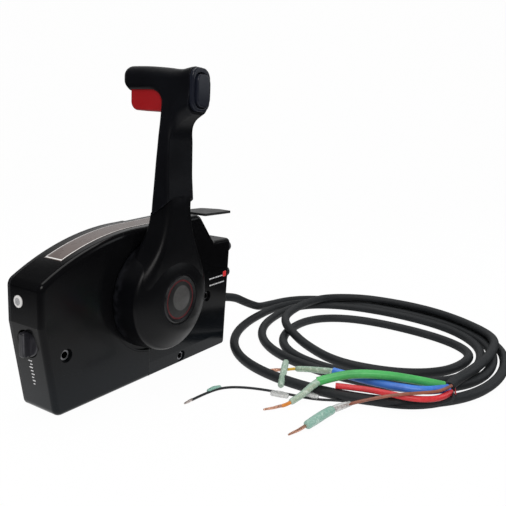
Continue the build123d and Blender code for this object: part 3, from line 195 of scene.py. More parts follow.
class Finish:
    """Material with one Principled shader; constants go on the shader's own sockets."""

    def __init__(self, name, **constants):
        self.material = bpy.data.materials.new(name)
        self.material.use_nodes = True
        self.tree = self.material.node_tree
        self.shader = self.tree.nodes["Principled BSDF"]
        for socket, value in constants.items():
            self.shader.inputs[socket.replace("_", " ")].default_value = value

    def node(self, kind, settings=None, values=None, out=0):
        """Any node: its settings first, then the values or links of its sockets."""
        made = self.tree.nodes.new(kind)
        for key, value in (settings or {}).items():
            setattr(made, key, value)
        for key, value in (values or {}).items():
            if isinstance(value, Value):
                self.tree.links.new(value.socket, made.inputs[key])
            else:
                made.inputs[key].default_value = value
        return Value(self, made.outputs[out])

    def place(self):
        """Object coordinates, in metres."""
        return self.node("ShaderNodeTexCoord", out="Object")

    def split(self, vector):
        """Three values of a vector."""
        first = self.node("ShaderNodeSeparateXYZ", values={0: vector})
        node = first.socket.node
        return [Value(self, socket) for socket in node.outputs]

    def noise(self, scale, detail=4.0, rough=0.55, stretch=(1, 1, 1)):
        """Fractal noise of so many cells to the metre, stretched along an axis."""
        where = self.node("ShaderNodeMapping", values={0: self.place(), "Scale": stretch})
        values = {"Vector": where, "Scale": scale, "Detail": detail, "Roughness": rough}
        return self.node("ShaderNodeTexNoise", values=values)

    def cells(self, scale):
        """Distance to the nearest of scattered points."""
        return self.node("ShaderNodeTexVoronoi", values={"Vector": self.place(), "Scale": scale})

    def edges(self):
        """Mask of the outward edges."""
        return self.node("ShaderNodeNewGeometry", out="Pointiness").clamped(0.515, 0.56)

    def mix(self, mask, first, second):
        """Colour between two colours."""
        return self.node("ShaderNodeMix", {"data_type": "RGBA"}, {0: mask, 6: first, 7: second}, out=2)

    def paint(self, value):
        """Base colour."""
        self.tree.links.new(value.socket, self.shader.inputs["Base Color"])

    def drive(self, socket, value):
        """Link a value to a socket of the shader."""
        self.tree.links.new(value.socket, self.shader.inputs[socket])

    def bump(self, height, distance):
        """Relief of so many metres."""
        values = {"Height": height, "Distance": distance, "Strength": 1.0}
        self.drive("Normal", self.node("ShaderNodeBump", values=values))


def rgba(red, green, blue):
    """Opaque colour."""
    return (red, green, blue, 1.0)


def moulding(name, dark, light, worn_and_highlit, rough, grain=0.00003, grain_scale=2600, **constants):
    """Moulded plastic or paint: cloudy colour, fine grain, edges lighter from rubbing and from a painted
    highlight, uneven gloss.
    """
    made = Finish(name, **constants)
    clouds = made.noise(22, 5).clamped(0.35, 0.68)
    speckle = made.noise(900, 3).clamped(0.45, 0.75)
    # edge mask: the lighter edge colour is partly wear from rubbing and partly a painted highlight
    rubbed_and_highlit = made.edges() * made.noise(160, 4).clamped(0.35, 0.6)
    body = made.mix(clouds * 0.7 + speckle * 0.3, rgba(*dark), rgba(*light))
    made.paint(made.mix(rubbed_and_highlit * 0.55, body, rgba(*worn_and_highlit)))
    made.drive("Roughness", clouds * 0.07 + speckle * 0.05 + rubbed_and_highlit * 0.1 + (rough - 0.05))
    made.bump(made.noise(grain_scale, 3) + speckle * 0.3, grain)
    return made.material


def machined(name, colour, stained, rough, stretch=(1, 1, 1), **constants):
    """Machined or plated metal: fine turning marks, stains, and edges brightened as a painted highlight."""
    made = Finish(name, Metallic=1.0, **constants)
    marks = made.noise(1800, 3, 0.6, stretch)
    stains = made.noise(90, 5).clamped(0.42, 0.72)
    body = made.mix(stains * 0.5 + marks * 0.2, rgba(*colour), rgba(*stained))
    # painted highlight: the edges are lifted to a brighter tone of the metal
    made.paint(made.mix(made.edges() * 0.6, body, rgba(*[min(1.0, c * 1.3) for c in colour])))
    made.drive("Roughness", marks * 0.12 + stains * 0.12 + (rough - 0.08))
    made.bump(marks, 0.00001)
    return made.material


def rubber(name, dark, dusty, rough, rib):
    """Extruded or moulded rubber: dull, with pale dust in a fine pebble."""
    made = Finish(name, Specular_IOR_Level=0.35)
    clouds = made.noise(36, 5).clamped(0.38, 0.7)
    pebble = made.noise(1500, 4)
    dust = made.noise(260, 5, 0.7).clamped(0.5, 0.78)
    made.paint(made.mix(clouds * 0.5 + dust * 0.5, rgba(*dark), rgba(*dusty)))
    made.drive("Roughness", clouds * 0.08 + pebble * 0.1 + (rough - 0.08))
    made.bump(pebble + dust * rib, 0.00006)
    return made.material


def tubing(name, colour, deep):
    """Coloured plastic tubing: slightly cloudy, with draw marks."""
    made = Finish(name, Specular_IOR_Level=0.5)
    clouds = made.noise(60, 4).clamped(0.35, 0.7)
    scuffs = made.noise(420, 5, 0.7).clamped(0.52, 0.7)
    body = made.mix(clouds, rgba(*colour), rgba(*deep))
    made.paint(made.mix(scuffs * 0.12, body, rgba(*[c * 0.6 + 0.3 for c in colour])))
    made.drive("Roughness", clouds * 0.08 + scuffs * 0.2 + 0.34)
    made.bump(made.noise(700, 3) + scuffs * 0.5, 0.00005)
    return made.material


def clear_sleeve(name, tint, milky, opacity):
    """Shrunk sleeve: tinted, half clear, glossy, milky where it is creased."""
    made = Finish(name, Roughness=0.12, IOR=1.5, Coat_Roughness=0.08)
    creases = made.noise(240, 5, 0.65).clamped(0.45, 0.7)
    clouds = made.noise(90, 3).clamped(0.3, 0.7)
    made.paint(made.mix(creases * 0.6 + clouds * 0.2, rgba(*tint), rgba(*milky)))
    made.drive("Roughness", creases * 0.25 + 0.1)
    made.drive("Alpha", creases * (0.9 - opacity) + opacity)
    made.bump(made.noise(500, 4) + creases, 0.00025)
    return made.material


def strands(name, bright, dull):
    """Bare strands of a wire's end."""
    made = Finish(name, Metallic=0.85, Specular_IOR_Level=0.6)
    twist = made.noise(1400, 3, 0.6, (0.4, 1.0, 1.0))
    made.paint(made.mix(twist.clamped(0.35, 0.65), rgba(*bright), rgba(*dull)))
    made.drive("Roughness", twist * 0.25 + 0.2)
    made.bump(twist, 0.0002)
    return made.material


def cover_finish():
    """Gloss black covers: near black, with a painted bluish reflection of the floor towards the foot, and a
    faint orange peel.
    """
    made = Finish("cover_black", Specular_IOR_Level=0.13, Coat_Roughness=0.08, Coat_Weight=0.02)
    clouds = made.noise(14, 5).clamped(0.35, 0.7)
    orange_peel = made.noise(520, 2)
    specks = made.noise(1700, 3).clamped(0.6, 0.8)
    height = made.split(made.place())[2]
    # foot mask: 1 at the floor, 0 at 75 mm up; it mixes in a painted bluish floor reflection and makes the
    # gloss rougher
    foot = 1 - height.clamped(0.0, 0.075)
    body = made.mix(clouds, rgba(0.0022, 0.0022, 0.0026), rgba(0.003, 0.0031, 0.0036))
    low = made.mix(foot * 0.75, body, rgba(0.008, 0.0105, 0.0135))
    made.paint(made.mix(specks * 0.1, low, rgba(0.03, 0.031, 0.035)))
    made.drive("Roughness", clouds * 0.015 + specks * 0.04 + foot * 0.04 + 0.16)
    made.bump(orange_peel + specks * 0.4, 0.000025)
    return made.material


def hub_disc_finish():
    """Grey dome whose lower edge falls away to black: a painted crescent of shade under the disc."""
    made = Finish("hub_disc_grey", Specular_IOR_Level=0.5)
    across, _, height = made.split(made.place())
    rise = height - (HUB_Z + DISC_RISE) * MM
    radius = (across * across + rise * rise) ** 0.5
    # painted shade: outside the grey round, which sits above the axis, the dome turns black as a crescent of
    # shade
    lower = radius.clamped(*[edge * MM for edge in DISC_SHADE_RIM])
    haze = made.noise(300, 4).clamped(0.35, 0.7)
    grey = made.mix(haze, rgba(0.052, 0.051, 0.05), rgba(0.064, 0.062, 0.061))
    made.paint(made.mix(lower, grey, rgba(0.004, 0.004, 0.004)))
    made.drive("Roughness", haze * 0.1 + lower * 0.15 + 0.3)
    made.bump(made.noise(1300, 3), 0.00002)
    return made.material


def lens_finish():
    """Pale bezel round a grey, faceted lens."""
    made = Finish("lens_pale", Specular_IOR_Level=0.5, Coat_Weight=0.3)
    _, depth, height = made.split(made.place())
    side = depth - LENS_AT[0] * MM
    rise = height - LENS_AT[1] * MM
    radius = (side * side + rise * rise) ** 0.5
    rim = radius.clamped(*[edge * MM for edge in LENS_RIM])
    facets = made.cells(900).clamped(0.1, 0.6)
    glass = made.mix(facets, rgba(0.16, 0.165, 0.17), rgba(0.36, 0.365, 0.37))
    made.paint(made.mix(rim, glass, rgba(0.66, 0.65, 0.64)))
    made.drive("Roughness", rim * 0.2 + facets * 0.1 + 0.15)
    made.bump(facets * (1 - rim), 0.0002)
    return made.material


FINISHES = {
    "cover_black": cover_finish(),
    "housing_black": moulding(
        "housing_black", (0.006, 0.006, 0.007), (0.009, 0.009, 0.0105), (0.014, 0.014, 0.016), 0.42,
        0.00005, 900, Specular_IOR_Level=0.28,
    ),
    "lever_black": moulding(
        "lever_black", (0.002, 0.0021, 0.0027), (0.003, 0.0032, 0.0041), (0.014, 0.0147, 0.018), 0.34,
        Specular_IOR_Level=0.14,
    ),
    "grip_black": moulding(
        "grip_black", (0.0022, 0.0024, 0.0036), (0.0034, 0.004, 0.006), (0.012, 0.013, 0.018), 0.38,
        0.00003, 2200, Specular_IOR_Level=0.18,
    ),
    "steel": machined("zinc_steel", (0.62, 0.63, 0.65), (0.34, 0.34, 0.35), 0.28),
    "gear_steel": machined("gear_steel", (0.42, 0.42, 0.43), (0.2, 0.19, 0.18), 0.36, (1, 0.1, 1)),
    "spring_steel": machined("spring_steel", (0.5, 0.51, 0.54), (0.25, 0.24, 0.24), 0.3),
    "bush_brass": machined("bush_bronze", (0.62, 0.45, 0.2), (0.35, 0.22, 0.09), 0.32, (1, 0.1, 1)),
    "cap_black": moulding(
        "cap_black", (0.002, 0.002, 0.0025), (0.003, 0.0032, 0.004), (0.01, 0.011, 0.013), 0.3,
        Specular_IOR_Level=0.4,
    ),
    "ring_red": moulding(
        "ring_red", (0.07, 0.006, 0.008), (0.09, 0.008, 0.011), (0.12, 0.012, 0.016), 0.3,
        Specular_IOR_Level=0.4,
    ),
    "disc_grey": hub_disc_finish(),
    "trigger_red": moulding(
        "trigger_red", (0.26, 0.003, 0.005), (0.29, 0.004, 0.007), (0.34, 0.02, 0.02), 0.34, 0.00002, 2000,
        Specular_IOR_Level=0.3,
    ),
    "switch_dark": moulding(
        "switch_dark", (0.006, 0.0075, 0.014), (0.009, 0.011, 0.019), (0.02, 0.023, 0.036), 0.34,
        Specular_IOR_Level=0.3,
    ),
    "knob_black": moulding(
        "knob_black", (0.012, 0.012, 0.016), (0.02, 0.02, 0.026), (0.08, 0.08, 0.09), 0.44, 0.00005, 1600,
        Specular_IOR_Level=0.5,
    ),
    "lens_pale": lens_finish(),
    "lever_sheet": moulding(
        "lever_sheet", (0.011, 0.011, 0.012), (0.016, 0.016, 0.017), (0.024, 0.024, 0.025), 0.36,
        0.00004, 1100, Specular_IOR_Level=0.5,
    ),
    "switch_body": moulding(
        "switch_body", (0.014, 0.014, 0.015), (0.022, 0.022, 0.024), (0.06, 0.06, 0.065), 0.46, 0.00005, 1500,
        Specular_IOR_Level=0.45,
    ),
    "switch_chrome": machined("switch_chrome", (0.78, 0.79, 0.8), (0.6, 0.6, 0.61), 0.16),
    "stop_red": moulding(
        "stop_red", (0.42, 0.01, 0.012), (0.52, 0.016, 0.018), (0.65, 0.12, 0.1), 0.34,
        Specular_IOR_Level=0.45,
    ),
    "inner_nylon": moulding(
        "inner_nylon", (0.5, 0.47, 0.4), (0.6, 0.57, 0.5), (0.75, 0.72, 0.66), 0.5, Specular_IOR_Level=0.4,
    ),
    "rubber_black": rubber("harness_rubber", (0.009, 0.011, 0.013), (0.018, 0.021, 0.024), 0.6, 0.3),
    "lead_green": tubing("tube_green", (0.06, 0.42, 0.10), (0.045, 0.34, 0.08)),
    "lead_blue": tubing("tube_blue", (0.05, 0.2, 0.68), (0.035, 0.14, 0.52)),
    "lead_red": tubing("tube_red", (0.62, 0.022, 0.03), (0.5, 0.016, 0.022)),
    "lead_brown": tubing("wire_brown", (0.28, 0.09, 0.05), (0.16, 0.05, 0.03)),
    "sleeve_clear": clear_sleeve("sleeve_green", (0.33, 0.5, 0.38), (0.66, 0.74, 0.66), 0.72),
}
SLEEVE_TEAL = clear_sleeve("sleeve_teal", (0.22, 0.44, 0.36), (0.5, 0.66, 0.58), 0.82)
SLEEVE_PALE = clear_sleeve("sleeve_pale", (0.45, 0.47, 0.46), (0.8, 0.8, 0.78), 0.5)
CORE_ORANGE = tubing("core_orange", (0.72, 0.26, 0.03), (0.55, 0.17, 0.02))
CORE_YELLOW = tubing("core_yellow", (0.75, 0.48, 0.04), (0.6, 0.34, 0.03))
CORE_DARK_RED = tubing("core_dark_red", (0.3, 0.02, 0.025), (0.2, 0.012, 0.016))
CORE_WHITE = tubing("core_white", (0.6, 0.58, 0.55), (0.45, 0.43, 0.4))
COPPER = strands("bare_copper", (0.75, 0.42, 0.3), (0.45, 0.22, 0.15))
TINNED = strands("bare_tinned", (0.7, 0.62, 0.58), (0.4, 0.34, 0.32))
MARK_WHITE = moulding("mark_white", (0.62, 0.62, 0.63), (0.72, 0.72, 0.72), (0.8, 0.8, 0.8), 0.4)
MARK_RED = moulding("mark_red", (0.72, 0.015, 0.02), (0.8, 0.03, 0.03), (0.85, 0.2, 0.18), 0.4)

for part in frame["record"]["subparts"]:
    solid = frame["nodes"][part["node"]]
    finish = FINISHES[part["material_slot"]]
    if not solid.material_slots:
        solid.data.materials.append(finish)
    for place in solid.material_slots:
        place.material = finish
# painted shade: the mounting sleeves, deep in their recesses, get a dark steel in place of the bright zinc
# steel
SHADED_SLEEVE_STEEL = machined("shaded_steel", (0.16, 0.16, 0.17), (0.07, 0.07, 0.07), 0.3)
for place in frame["nodes"]["mounting_sleeves"].material_slots:
    place.material = SHADED_SLEEVE_STEEL


# ---------------------------------------------------------------- harness and leads
def loose_turns(start, reaches):
    """Turns on the floor. Each quarter between two outermost points is a superellipse quarter: one coordinate
    goes by the cosine of the angle and the other by its sine, both raised to the bulge, at four angles."""
    angle = np.radians([22.5, 45.0, 67.5, 90.0])
    falling = np.round(np.cos(angle), 12) ** BULGE
    rising = np.sin(angle) ** BULGE
    quarters = []
    at = np.array(start[:2], float)
    for number, reach in enumerate(reaches):
        to = np.array(reach, float)
        share = np.stack([1 - falling, rising] if number % 2 else [rising, 1 - falling], axis=1)
        quarters.append(at + (to - at) * share)
        at = to
    flat = np.concatenate(quarters)
    return np.column_stack([flat, np.full(len(flat), FLOOR_STRAND_Z)])


def curve_along(name, points, diameter, finish, sides):
    """Round bar whose centre line is a NURBS spline with these control points, in millimetres."""
    places = np.array(points, float) * MM
    data = bpy.data.curves.new(name, "CURVE")
    data.dimensions = "3D"
    spline = data.splines.new("NURBS")
    spline.points.add(len(places) - 1)
    spline.points.foreach_set("co", np.column_stack([places, np.ones(len(places))]).ravel())
    spline.order_u = 3
    spline.use_endpoint_u = True
    data.resolution_u = 8
    data.bevel_depth = diameter / 2 * MM
    data.bevel_resolution = sides
    data.use_fill_caps = True
    data.materials.append(finish)
    piece = bpy.data.objects.new(name, data)
    bpy.context.scene.collection.objects.link(piece)
    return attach(piece, "housing")


HARNESS = np.vstack([LEAD_IN, loose_turns(LEAD_IN[-1], REACHES), TAIL])
harness = curve_along("harness", HARNESS, HARNESS_D, FINISHES["rubber_black"], 8)
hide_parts("harness_lead", "harness_coil")
LEADS = {}
for name, points, diameter, sides in (
    ("green", GREEN, 9.0, 7),
    ("blue", BLUE, 8.4, 7),
    ("red", RED, 6.0, 6),
    ("black", BLACK, 2.6, 4),
    ("brown", BROWN, 3.2, 4),
):
    slot = "rubber_black" if name == "black" else "lead_" + name
    lead = curve_along(name + "_wire", points, diameter, FINISHES[slot], sides)
    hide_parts(name + "_lead")
    LEADS[name] = (lead, points)


# ---------------------------------------------------------------- surfaces
SPAN_STEPS = 10           # steps between two points of a smooth path


def grid_faces(rows, columns, offset):
    """Quads between neighbouring rows of points, each row closed on itself, numbered from an offset."""
    row, column = np.meshgrid(np.arange(rows - 1), np.arange(columns), indexing="ij")
    a = row * columns + column
    b = row * columns + (column + 1) % columns
    quads = np.stack([a, b, b + columns, a + columns], axis=-1).reshape(-1, 4)
    return quads + offset


def make_piece(name, parts, finish, body):
    """One mesh from closed grids of points, given in millimetres as rows of a ring; each end is capped."""
    corners = []
    faces = []
    start = 0
    for rings in parts:
        rows, columns = rings.shape[:2]
        corners.append(rings.reshape(-1, 3) * MM)
        faces += grid_faces(rows, columns, start).tolist()
        first = np.arange(columns) + start
        faces.append(first[::-1].tolist())
        faces.append((first + (rows - 1) * columns).tolist())
        start += rows * columns
    mesh = bpy.data.meshes.new(name)
    mesh.from_pydata(np.concatenate(corners).tolist(), [], faces)
    mesh.validate()
    mesh.materials.append(finish)
    mesh.shade_smooth()
    piece = bpy.data.objects.new(name, mesh)
    bpy.context.scene.collection.objects.link(piece)
    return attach(piece, body)


def smooth_path(points):
    """Catmull-Rom curve through the points: cubic in each span, with the neighbours' chord as slope."""
    p = np.array(points, float)
    p = np.vstack([2 * p[0] - p[1], p, 2 * p[-1] - p[-2]])
    t = np.linspace(0, 1, SPAN_STEPS, endpoint=False)[:, None, None]
    a, b, c, d = p[:-3], p[1:-2], p[2:-1], p[3:]
    square, cube = 2 * a - 5 * b + 4 * c - d, 3 * b - a - 3 * c + d
    curve = 0.5 * (2 * b + (c - a) * t + square * t ** 2 + cube * t ** 3)
    return np.vstack([curve.transpose(1, 0, 2).reshape(-1, 3), p[-2]])


def tube(points, radii, sides=20, lobes=0, flat=1.0):
    """Circle carried along a smooth path. Its radius runs through the given radii and eases in at both ends.
    It may carry twisted lobes, and flat squeezes it upright."""
    path = smooth_path(points)
    along = np.linspace(0, 1, len(path))
    ahead = np.gradient(path, axis=0)
    ahead /= np.linalg.norm(ahead, axis=1)[:, None]
    side = np.cross(ahead, (0, 0, 1))
    side /= np.linalg.norm(side, axis=1)[:, None]
    over = np.cross(side, ahead)
    angle = np.linspace(0, 2 * pi, sides, endpoint=False)
    radius = np.interp(along, np.linspace(0, 1, len(radii)), radii)
    end = np.minimum(along, 1 - along) * len(path)
    radius = radius * np.where(end < 1.5, 0.72 + 0.28 * np.sqrt(np.clip(end / 1.5, 0, 1)), 1.0)
    ripple = 1 + (0.14 * np.cos(lobes * angle + 9 * along[:, None]) if lobes else 0)
    reach = radius[:, None] * ripple
    across = (reach * np.cos(angle))[..., None] * side[:, None, :]
    high = (reach * flat * np.sin(angle))[..., None] * over[:, None, :]
    return path[:, None, :] + across + high


def pad(centre, across, up, half_across, half_up, thick):
    """Thin cushion-edged plate: a superellipse outline of the sixth power, drawn in by the sine of the second
    angle while the thickness goes by its cosine, so it closes on both sides."""
    power = 6.0
    across, up = np.array(across, float), np.array(up, float)
    out = np.cross(across, up)
    angle = np.linspace(0, 2 * pi, 28, endpoint=False)
    c, s = np.cos(angle), np.sin(angle)
    x = np.sign(c) * np.abs(c) ** (2 / power) * half_across
    y = np.sign(s) * np.abs(s) ** (2 / power) * half_up
    rise = np.radians([4, 35, 62, 90, 118, 145, 176])[:, None]
    draw = np.sin(rise) ** 0.35
    lift = np.sign(np.cos(rise)) * np.abs(np.cos(rise)) ** 0.5 * thick
    face = (draw * x)[..., None] * across + (draw * y)[..., None] * up
    return np.array(centre, float) + face - lift[..., None] * out


# ---------------------------------------------------------------- grip, trigger and trim switch
def along(t, knots):
    """Cubic Hermite curve through (place, value) knots whose slopes are the differences of the neighbours."""
    x, v = np.array(knots, float).T
    slope = np.gradient(v, x)
    i = np.clip(np.searchsorted(x, t) - 1, 0, len(x) - 2)
    h = x[i + 1] - x[i]
    s = np.clip((t - x[i]) / h, 0, 1)
    start = (1 + 2 * s) * (1 - s) ** 2 * v[i] + s * (1 - s) ** 2 * h * slope[i]
    return start + s * s * (3 - 2 * s) * v[i + 1] - s * s * (1 - s) * h * slope[i + 1]


def ramp(t, low, high):
    """Smooth step 3s^2 - 2s^3 between two places."""
    s = np.clip((t - low) / (high - low), 0, 1)
    return s * s * (3 - 2 * s)


def joined(a, b, k):
    """Union whose crease is filled: min(a, b) - h^2 k / 4 with h = max(1 - |a - b| / k, 0)."""
    h = np.maximum(1 - np.abs(a - b) / k, 0)
    return np.minimum(a, b) - h * h * k / 4


def common(a, b, r):
    """Intersection with its edge rounded to r: with u = a + r and v = b + r, it is
    min(max(u, v), 0) + |(max(u, 0), max(v, 0))| - r."""
    u, v = a + r, b + r
    return np.minimum(np.maximum(u, v), 0) + np.hypot(np.maximum(u, 0), np.maximum(v, 0)) - r


def oval(u, v, half_u, half_v, r):
    """Distance to a rounded rectangle."""
    return common(np.abs(u) - half_u, np.abs(v) - half_v, r)


def skin(field, low, high, step):
    """Surface field = 0 on a grid of cells: one corner in each cell that the surface crosses, at the mean of
    the crossings on the cell's edges, drawn to the surface by f grad f / |grad f|^2, and one quad across each
    crossed edge."""
    axes = [np.arange(a, b + step, step) for a, b in zip(low, high)]
    value = field(*np.meshgrid(*axes, indexing="ij"))
    cells = tuple(n - 1 for n in value.shape)
    total = np.zeros(cells + (3,))
    count = np.zeros(cells)
    crossed = []
    for axis in range(3):
        near = np.take(value, range(cells[axis]), axis)
        far = np.take(value, range(1, cells[axis] + 1), axis)
        cut = (near < 0) != (far < 0)
        share = np.where(cut, near / np.where(cut, near - far, 1), 0)
        crossed.append((cut, near < 0))
        others = [n for n in range(3) if n != axis]
        for da in (0, 1):
            for db in (0, 1):
                window = [slice(None)] * 3
                offset = np.zeros(3)
                for other, shift in zip(others, (da, db)):
                    window[other] = slice(shift, cells[other] + shift)
                    offset[other] = shift
                hit = cut[tuple(window)]
                total += hit[..., None] * offset
                total[..., axis] += share[tuple(window)]
                count += hit
    used = count > 0
    number = np.full(cells, -1)
    number[used] = np.arange(used.sum())
    places = np.array(low) + (np.argwhere(used) + total[used] / count[used][:, None]) * step
    for _ in range(3):
        here = field(*places.T)
        slope = np.stack([field(*(places + d).T) - here for d in np.eye(3) * 0.05], axis=1) / 0.05
        move = here[:, None] * slope / np.maximum((slope ** 2).sum(axis=1), 0.2)[:, None]
        places -= np.clip(move, -0.3 * step, 0.3 * step)
    quads = []
    for axis, (cut, inward) in enumerate(crossed):
        a, b = (axis + 1) % 3, (axis + 2) % 3
        edge = np.argwhere(cut)
        edge = edge[(edge[:, a] > 0) & (edge[:, b] > 0) & (edge[:, a] < cells[a]) & (edge[:, b] < cells[b])]
        turn = []
        for da, db in ((1, 1), (0, 1), (0, 0), (1, 0)):
            cell = edge.copy()
            cell[:, a] -= da
            cell[:, b] -= db
            turn.append(number[tuple(cell.T)])
        quad = np.stack(turn, axis=1)
        flip = ~inward[tuple(edge.T)]
        quad[flip] = quad[flip][:, ::-1]
        quads.append(quad)
    return places, np.concatenate(quads)


def carved(name, field, low, high, step, finish, body, node):
    """Piece whose surface is where a field is zero; it stands for a solid."""
    places, quads = skin(field, low, high, step)
    mesh = bpy.data.meshes.new(name)
    mesh.from_pydata((places * MM).tolist(), [], quads.tolist())
    mesh.materials.append(finish)
    mesh.shade_smooth()
    mesh.set_sharp_from_angle(angle=radians(38))
    piece = bpy.data.objects.new(name, mesh)
    bpy.context.scene.collection.objects.link(piece)
    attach(piece, body)
    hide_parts(node)
    return piece


HEAD_SEAM = -72.2         # head's front, where the bezel begins
HEAD_MID = 295.4          # height of the bezel's middle
ROCKER_MID = 294.6
WINDOW = (10.2, 16.3, 8.8)     # half width, half height and corner of the rocker's window
TRIGGER_HALF = 8.5
ROD_PLACE = -38.0         # axis of the lock rod
BAR_FOOT = 294.6          # underside of the bar
BAR_END = 17.4

# outlines of the grip as (place, value) knots: heights by Y, then places and half widths by Z or Y
TOP_LINE = [
    (-80, 315.6), (-70, 316.0), (-64, 315.2), (-58, 314.3), (-52, 314.4), (-41, 315.7), (-28, 316.9),
    (-14, 317.9), (4, 318.4), (20, 318.4),
]
FRONT_LINE = [
    (170, -56.0), (190, -55.3), (200, -54.6), (214, -53.6), (235, -53.4), (248, -53.6), (300, -55.0),
]
REAR_LINE = [
    (170, -30.2), (187, -31.4), (200, -32.5), (230, -35.0), (248, -36.4), (268, -38.0), (282, -38.2),
    (310, -38.2),
]
BAR_HALF = [(-80, 13.2), (-70, 13.3), (-60, 13.0), (-46, 12.4), (-30, 12.0), (0, 12.0), (20, 12.0)]
STEM_HALF = [
    (170, 19.8), (190, 19.7), (200, 19.5), (235, 18.9), (250, 18.2), (262, 17.2), (272, 16.4), (284, 15.4),
    (300, 13.6),
]
BAR_EDGE = [(-80, 10.0), (-64, 10.5), (-46, 11.4), (-30, 11.4), (20, 11.4)]


def window(x, z):
    """Distance to the outline of the rocker's window."""
    half_x, half_z, corner = WINDOW
    return oval(x, z - ROCKER_MID, half_x, half_z, corner)


def grip_outline(y, z):
    """Side view: head and stem joined with a fillet of 13, and the bar with one of 20, under one top line."""
    bar = common(BAR_FOOT - z, y - BAR_END, 10.0)
    head = np.maximum((275.2 - 0.56 * (y + 76) - z) / 1.15, y + 48)
    stem = np.maximum(along(z, FRONT_LINE) - y, y - along(z, REAR_LINE))
    return common(joined(bar, joined(head, stem, 13.0), 20.0), z - along(y, TOP_LINE), 10.0)


def grip_edge(y, z, upper):
    """Radius of the long edges: small on the stem, and nearly the half width at the bar and the head."""
    behind = ramp(y, -50, -42)
    edge_low = (2.2 + 8.5 * ramp(z, 246, 274)) * (1 - behind) + (6.5 - ramp(z, 240, 266)) * behind
    fuller = (1 - ramp(z, 297, 309)) * (1 - ramp(y, 5, 12))
    edge_up = along(y, BAR_EDGE) * (1 - 0.55 * fuller)
    return edge_low + (edge_up - edge_low) * upper


def grip_field(x, y, z):
    """Side view and half width, met with rounded edges. A slanted cut, arched in front, ends the foot, a rib
    holds the lock rod, and the trigger's slot, the rod's bore and the rocker's well are taken out."""
    upper = ramp(z, 276, 298)
    half_low = along(z, STEM_HALF)
    half = half_low + (along(y, BAR_HALF) - half_low) * upper
    body = common(grip_outline(y, z), np.abs(x) - half, grip_edge(y, z, upper))
    arch = 4.2 * np.clip(1 - (x / 19.6) ** 2, 0, 1) ** 0.6 * (1 - ramp(y, -54, -46))
    body = np.maximum(body, (190.2 + arch - 0.68 * (y + 55.5) - z) / 1.21)
    rod = np.hypot(x, y - ROD_PLACE)
    rib = np.maximum(rod - 3.9, 200 - z)
    body = joined(body, np.maximum(rib, z - 276), 3.0)
    body = np.maximum(body, HEAD_SEAM - y)
    slot_side = np.maximum(np.abs(y + 19) - 26.5, np.abs(z - 288.8) - 15.2)
    slot = np.maximum(np.abs(x) - TRIGGER_HALF - 0.6, slot_side)
    bore = np.maximum(rod - 2.6, z - 276)
    well = np.maximum(window(x, z), y - HEAD_SEAM - 2.8)
    return np.maximum(body, -np.minimum(np.minimum(slot, bore), well))


def trigger_field(x, y, z):
    """Finger plate: its foot slopes, the rear corner is rounded to 8.5 and the edges to 2, and a lower tongue
    runs forward."""
    foot = 274.5 + 0.035 * (y + 36)
    roof = np.where((y < -32.5) & (np.abs(x) < 5.4), 286.8, 297.2)
    side = common(foot - z, y - 5.9, 8.5)
    side = np.maximum(np.maximum(side, z - roof), -43.6 - y)
    return common(side, np.abs(x) - TRIGGER_HALF, 2.0)


def bezel_field(x, y, z):
    """Oval collar over the whole front of the head, rounded in front to 1.7, with the rocker's window."""
    outline = oval(x, z - HEAD_MID, 13.3, 19.9, 10.0)
    collar = np.maximum(common(outline, -76.3 - y, 1.7), y - HEAD_SEAM + 0.3)
    return np.maximum(collar, -window(x, z))


def rocker_field(x, y, z):
    """Oval rocker with a face bowed by the square of the height, its edge rounded to 1.3."""
    face = -79.6 + 0.003 * (z - ROCKER_MID) ** 2 - y
    return np.maximum(common(oval(x, z - ROCKER_MID, 9.6, 15.0, 8.2), face, 1.3), y + 72.6)


carved(
    "grip_skin", grip_field, (-21, -75, 170), (21, 20, 321), 0.8,
    FINISHES["grip_black"], "lever", "grip_cover",
)
carved(
    "trigger_skin", trigger_field, (-10, -46, 272), (10, 8, 299), 0.6,
    FINISHES["trigger_red"], "trigger", "neutral_trigger",
)
carved(
    "bezel_skin", bezel_field, (-15, -78, 273), (15, -67, 317), 0.5,
    FINISHES["switch_dark"], "lever", "switch_bezel",
)
carved(
    "rocker_skin", rocker_field, (-11, -80, 277), (11, -65, 312), 0.5,
    FINISHES["switch_dark"], "rocker", "trim_rocker",
)


# ---------------------------------------------------------------- sleeves, cores and bare ends
def sleeve(name, finish, *runs):
    """Shrunk sleeves, each a tube along its own points with its own radii, squeezed upright by a share."""
    parts = [tube(points, radii, flat=flat) for points, radii, flat in runs]
    return make_piece(name, parts, finish, "housing")


GREEN_SLEEVE = sleeve(
    "green_wire_sleeve", FINISHES["sleeve_clear"],
    ([(66, -187, 17), (56, -183, 13.2), (41, -180, 8.6), (25, -176, 5.2)], [3.9, 3.8, 3.5, 3.3], 0.92),
)
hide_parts("green_sleeve")
BLUE_SLEEVE = sleeve(
    "blue_wire_sleeve", FINISHES["sleeve_clear"],
    ([(99.5, -187, 15.6), (100, -172, 13.0), (99, -156, 10.4), (96, -143, 8.5)], [3.5, 3.4, 3.2, 3.2], 1.0),
)
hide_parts("blue_sleeve")
TEAL_SLEEVE = sleeve(
    "brown_wire_sleeve", SLEEVE_TEAL,
    ([(37, -215.5, 5.4), (22, -213, 5.2), (8, -211.5, 5.0), (-6, -210, 4.8)], [4.2, 4.5, 4.5, 4.1], 0.95),
)
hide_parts("teal_sleeve")
JOINT_SLEEVE = sleeve(
    "brown_wire_joint", SLEEVE_PALE,
    ([(57, -225.5, 7), (50, -221, 6.2), (43, -217.8, 5.7), (36, -215.2, 5.4)], [2.4, 3.2, 3.5, 3.2], 1.0),
)
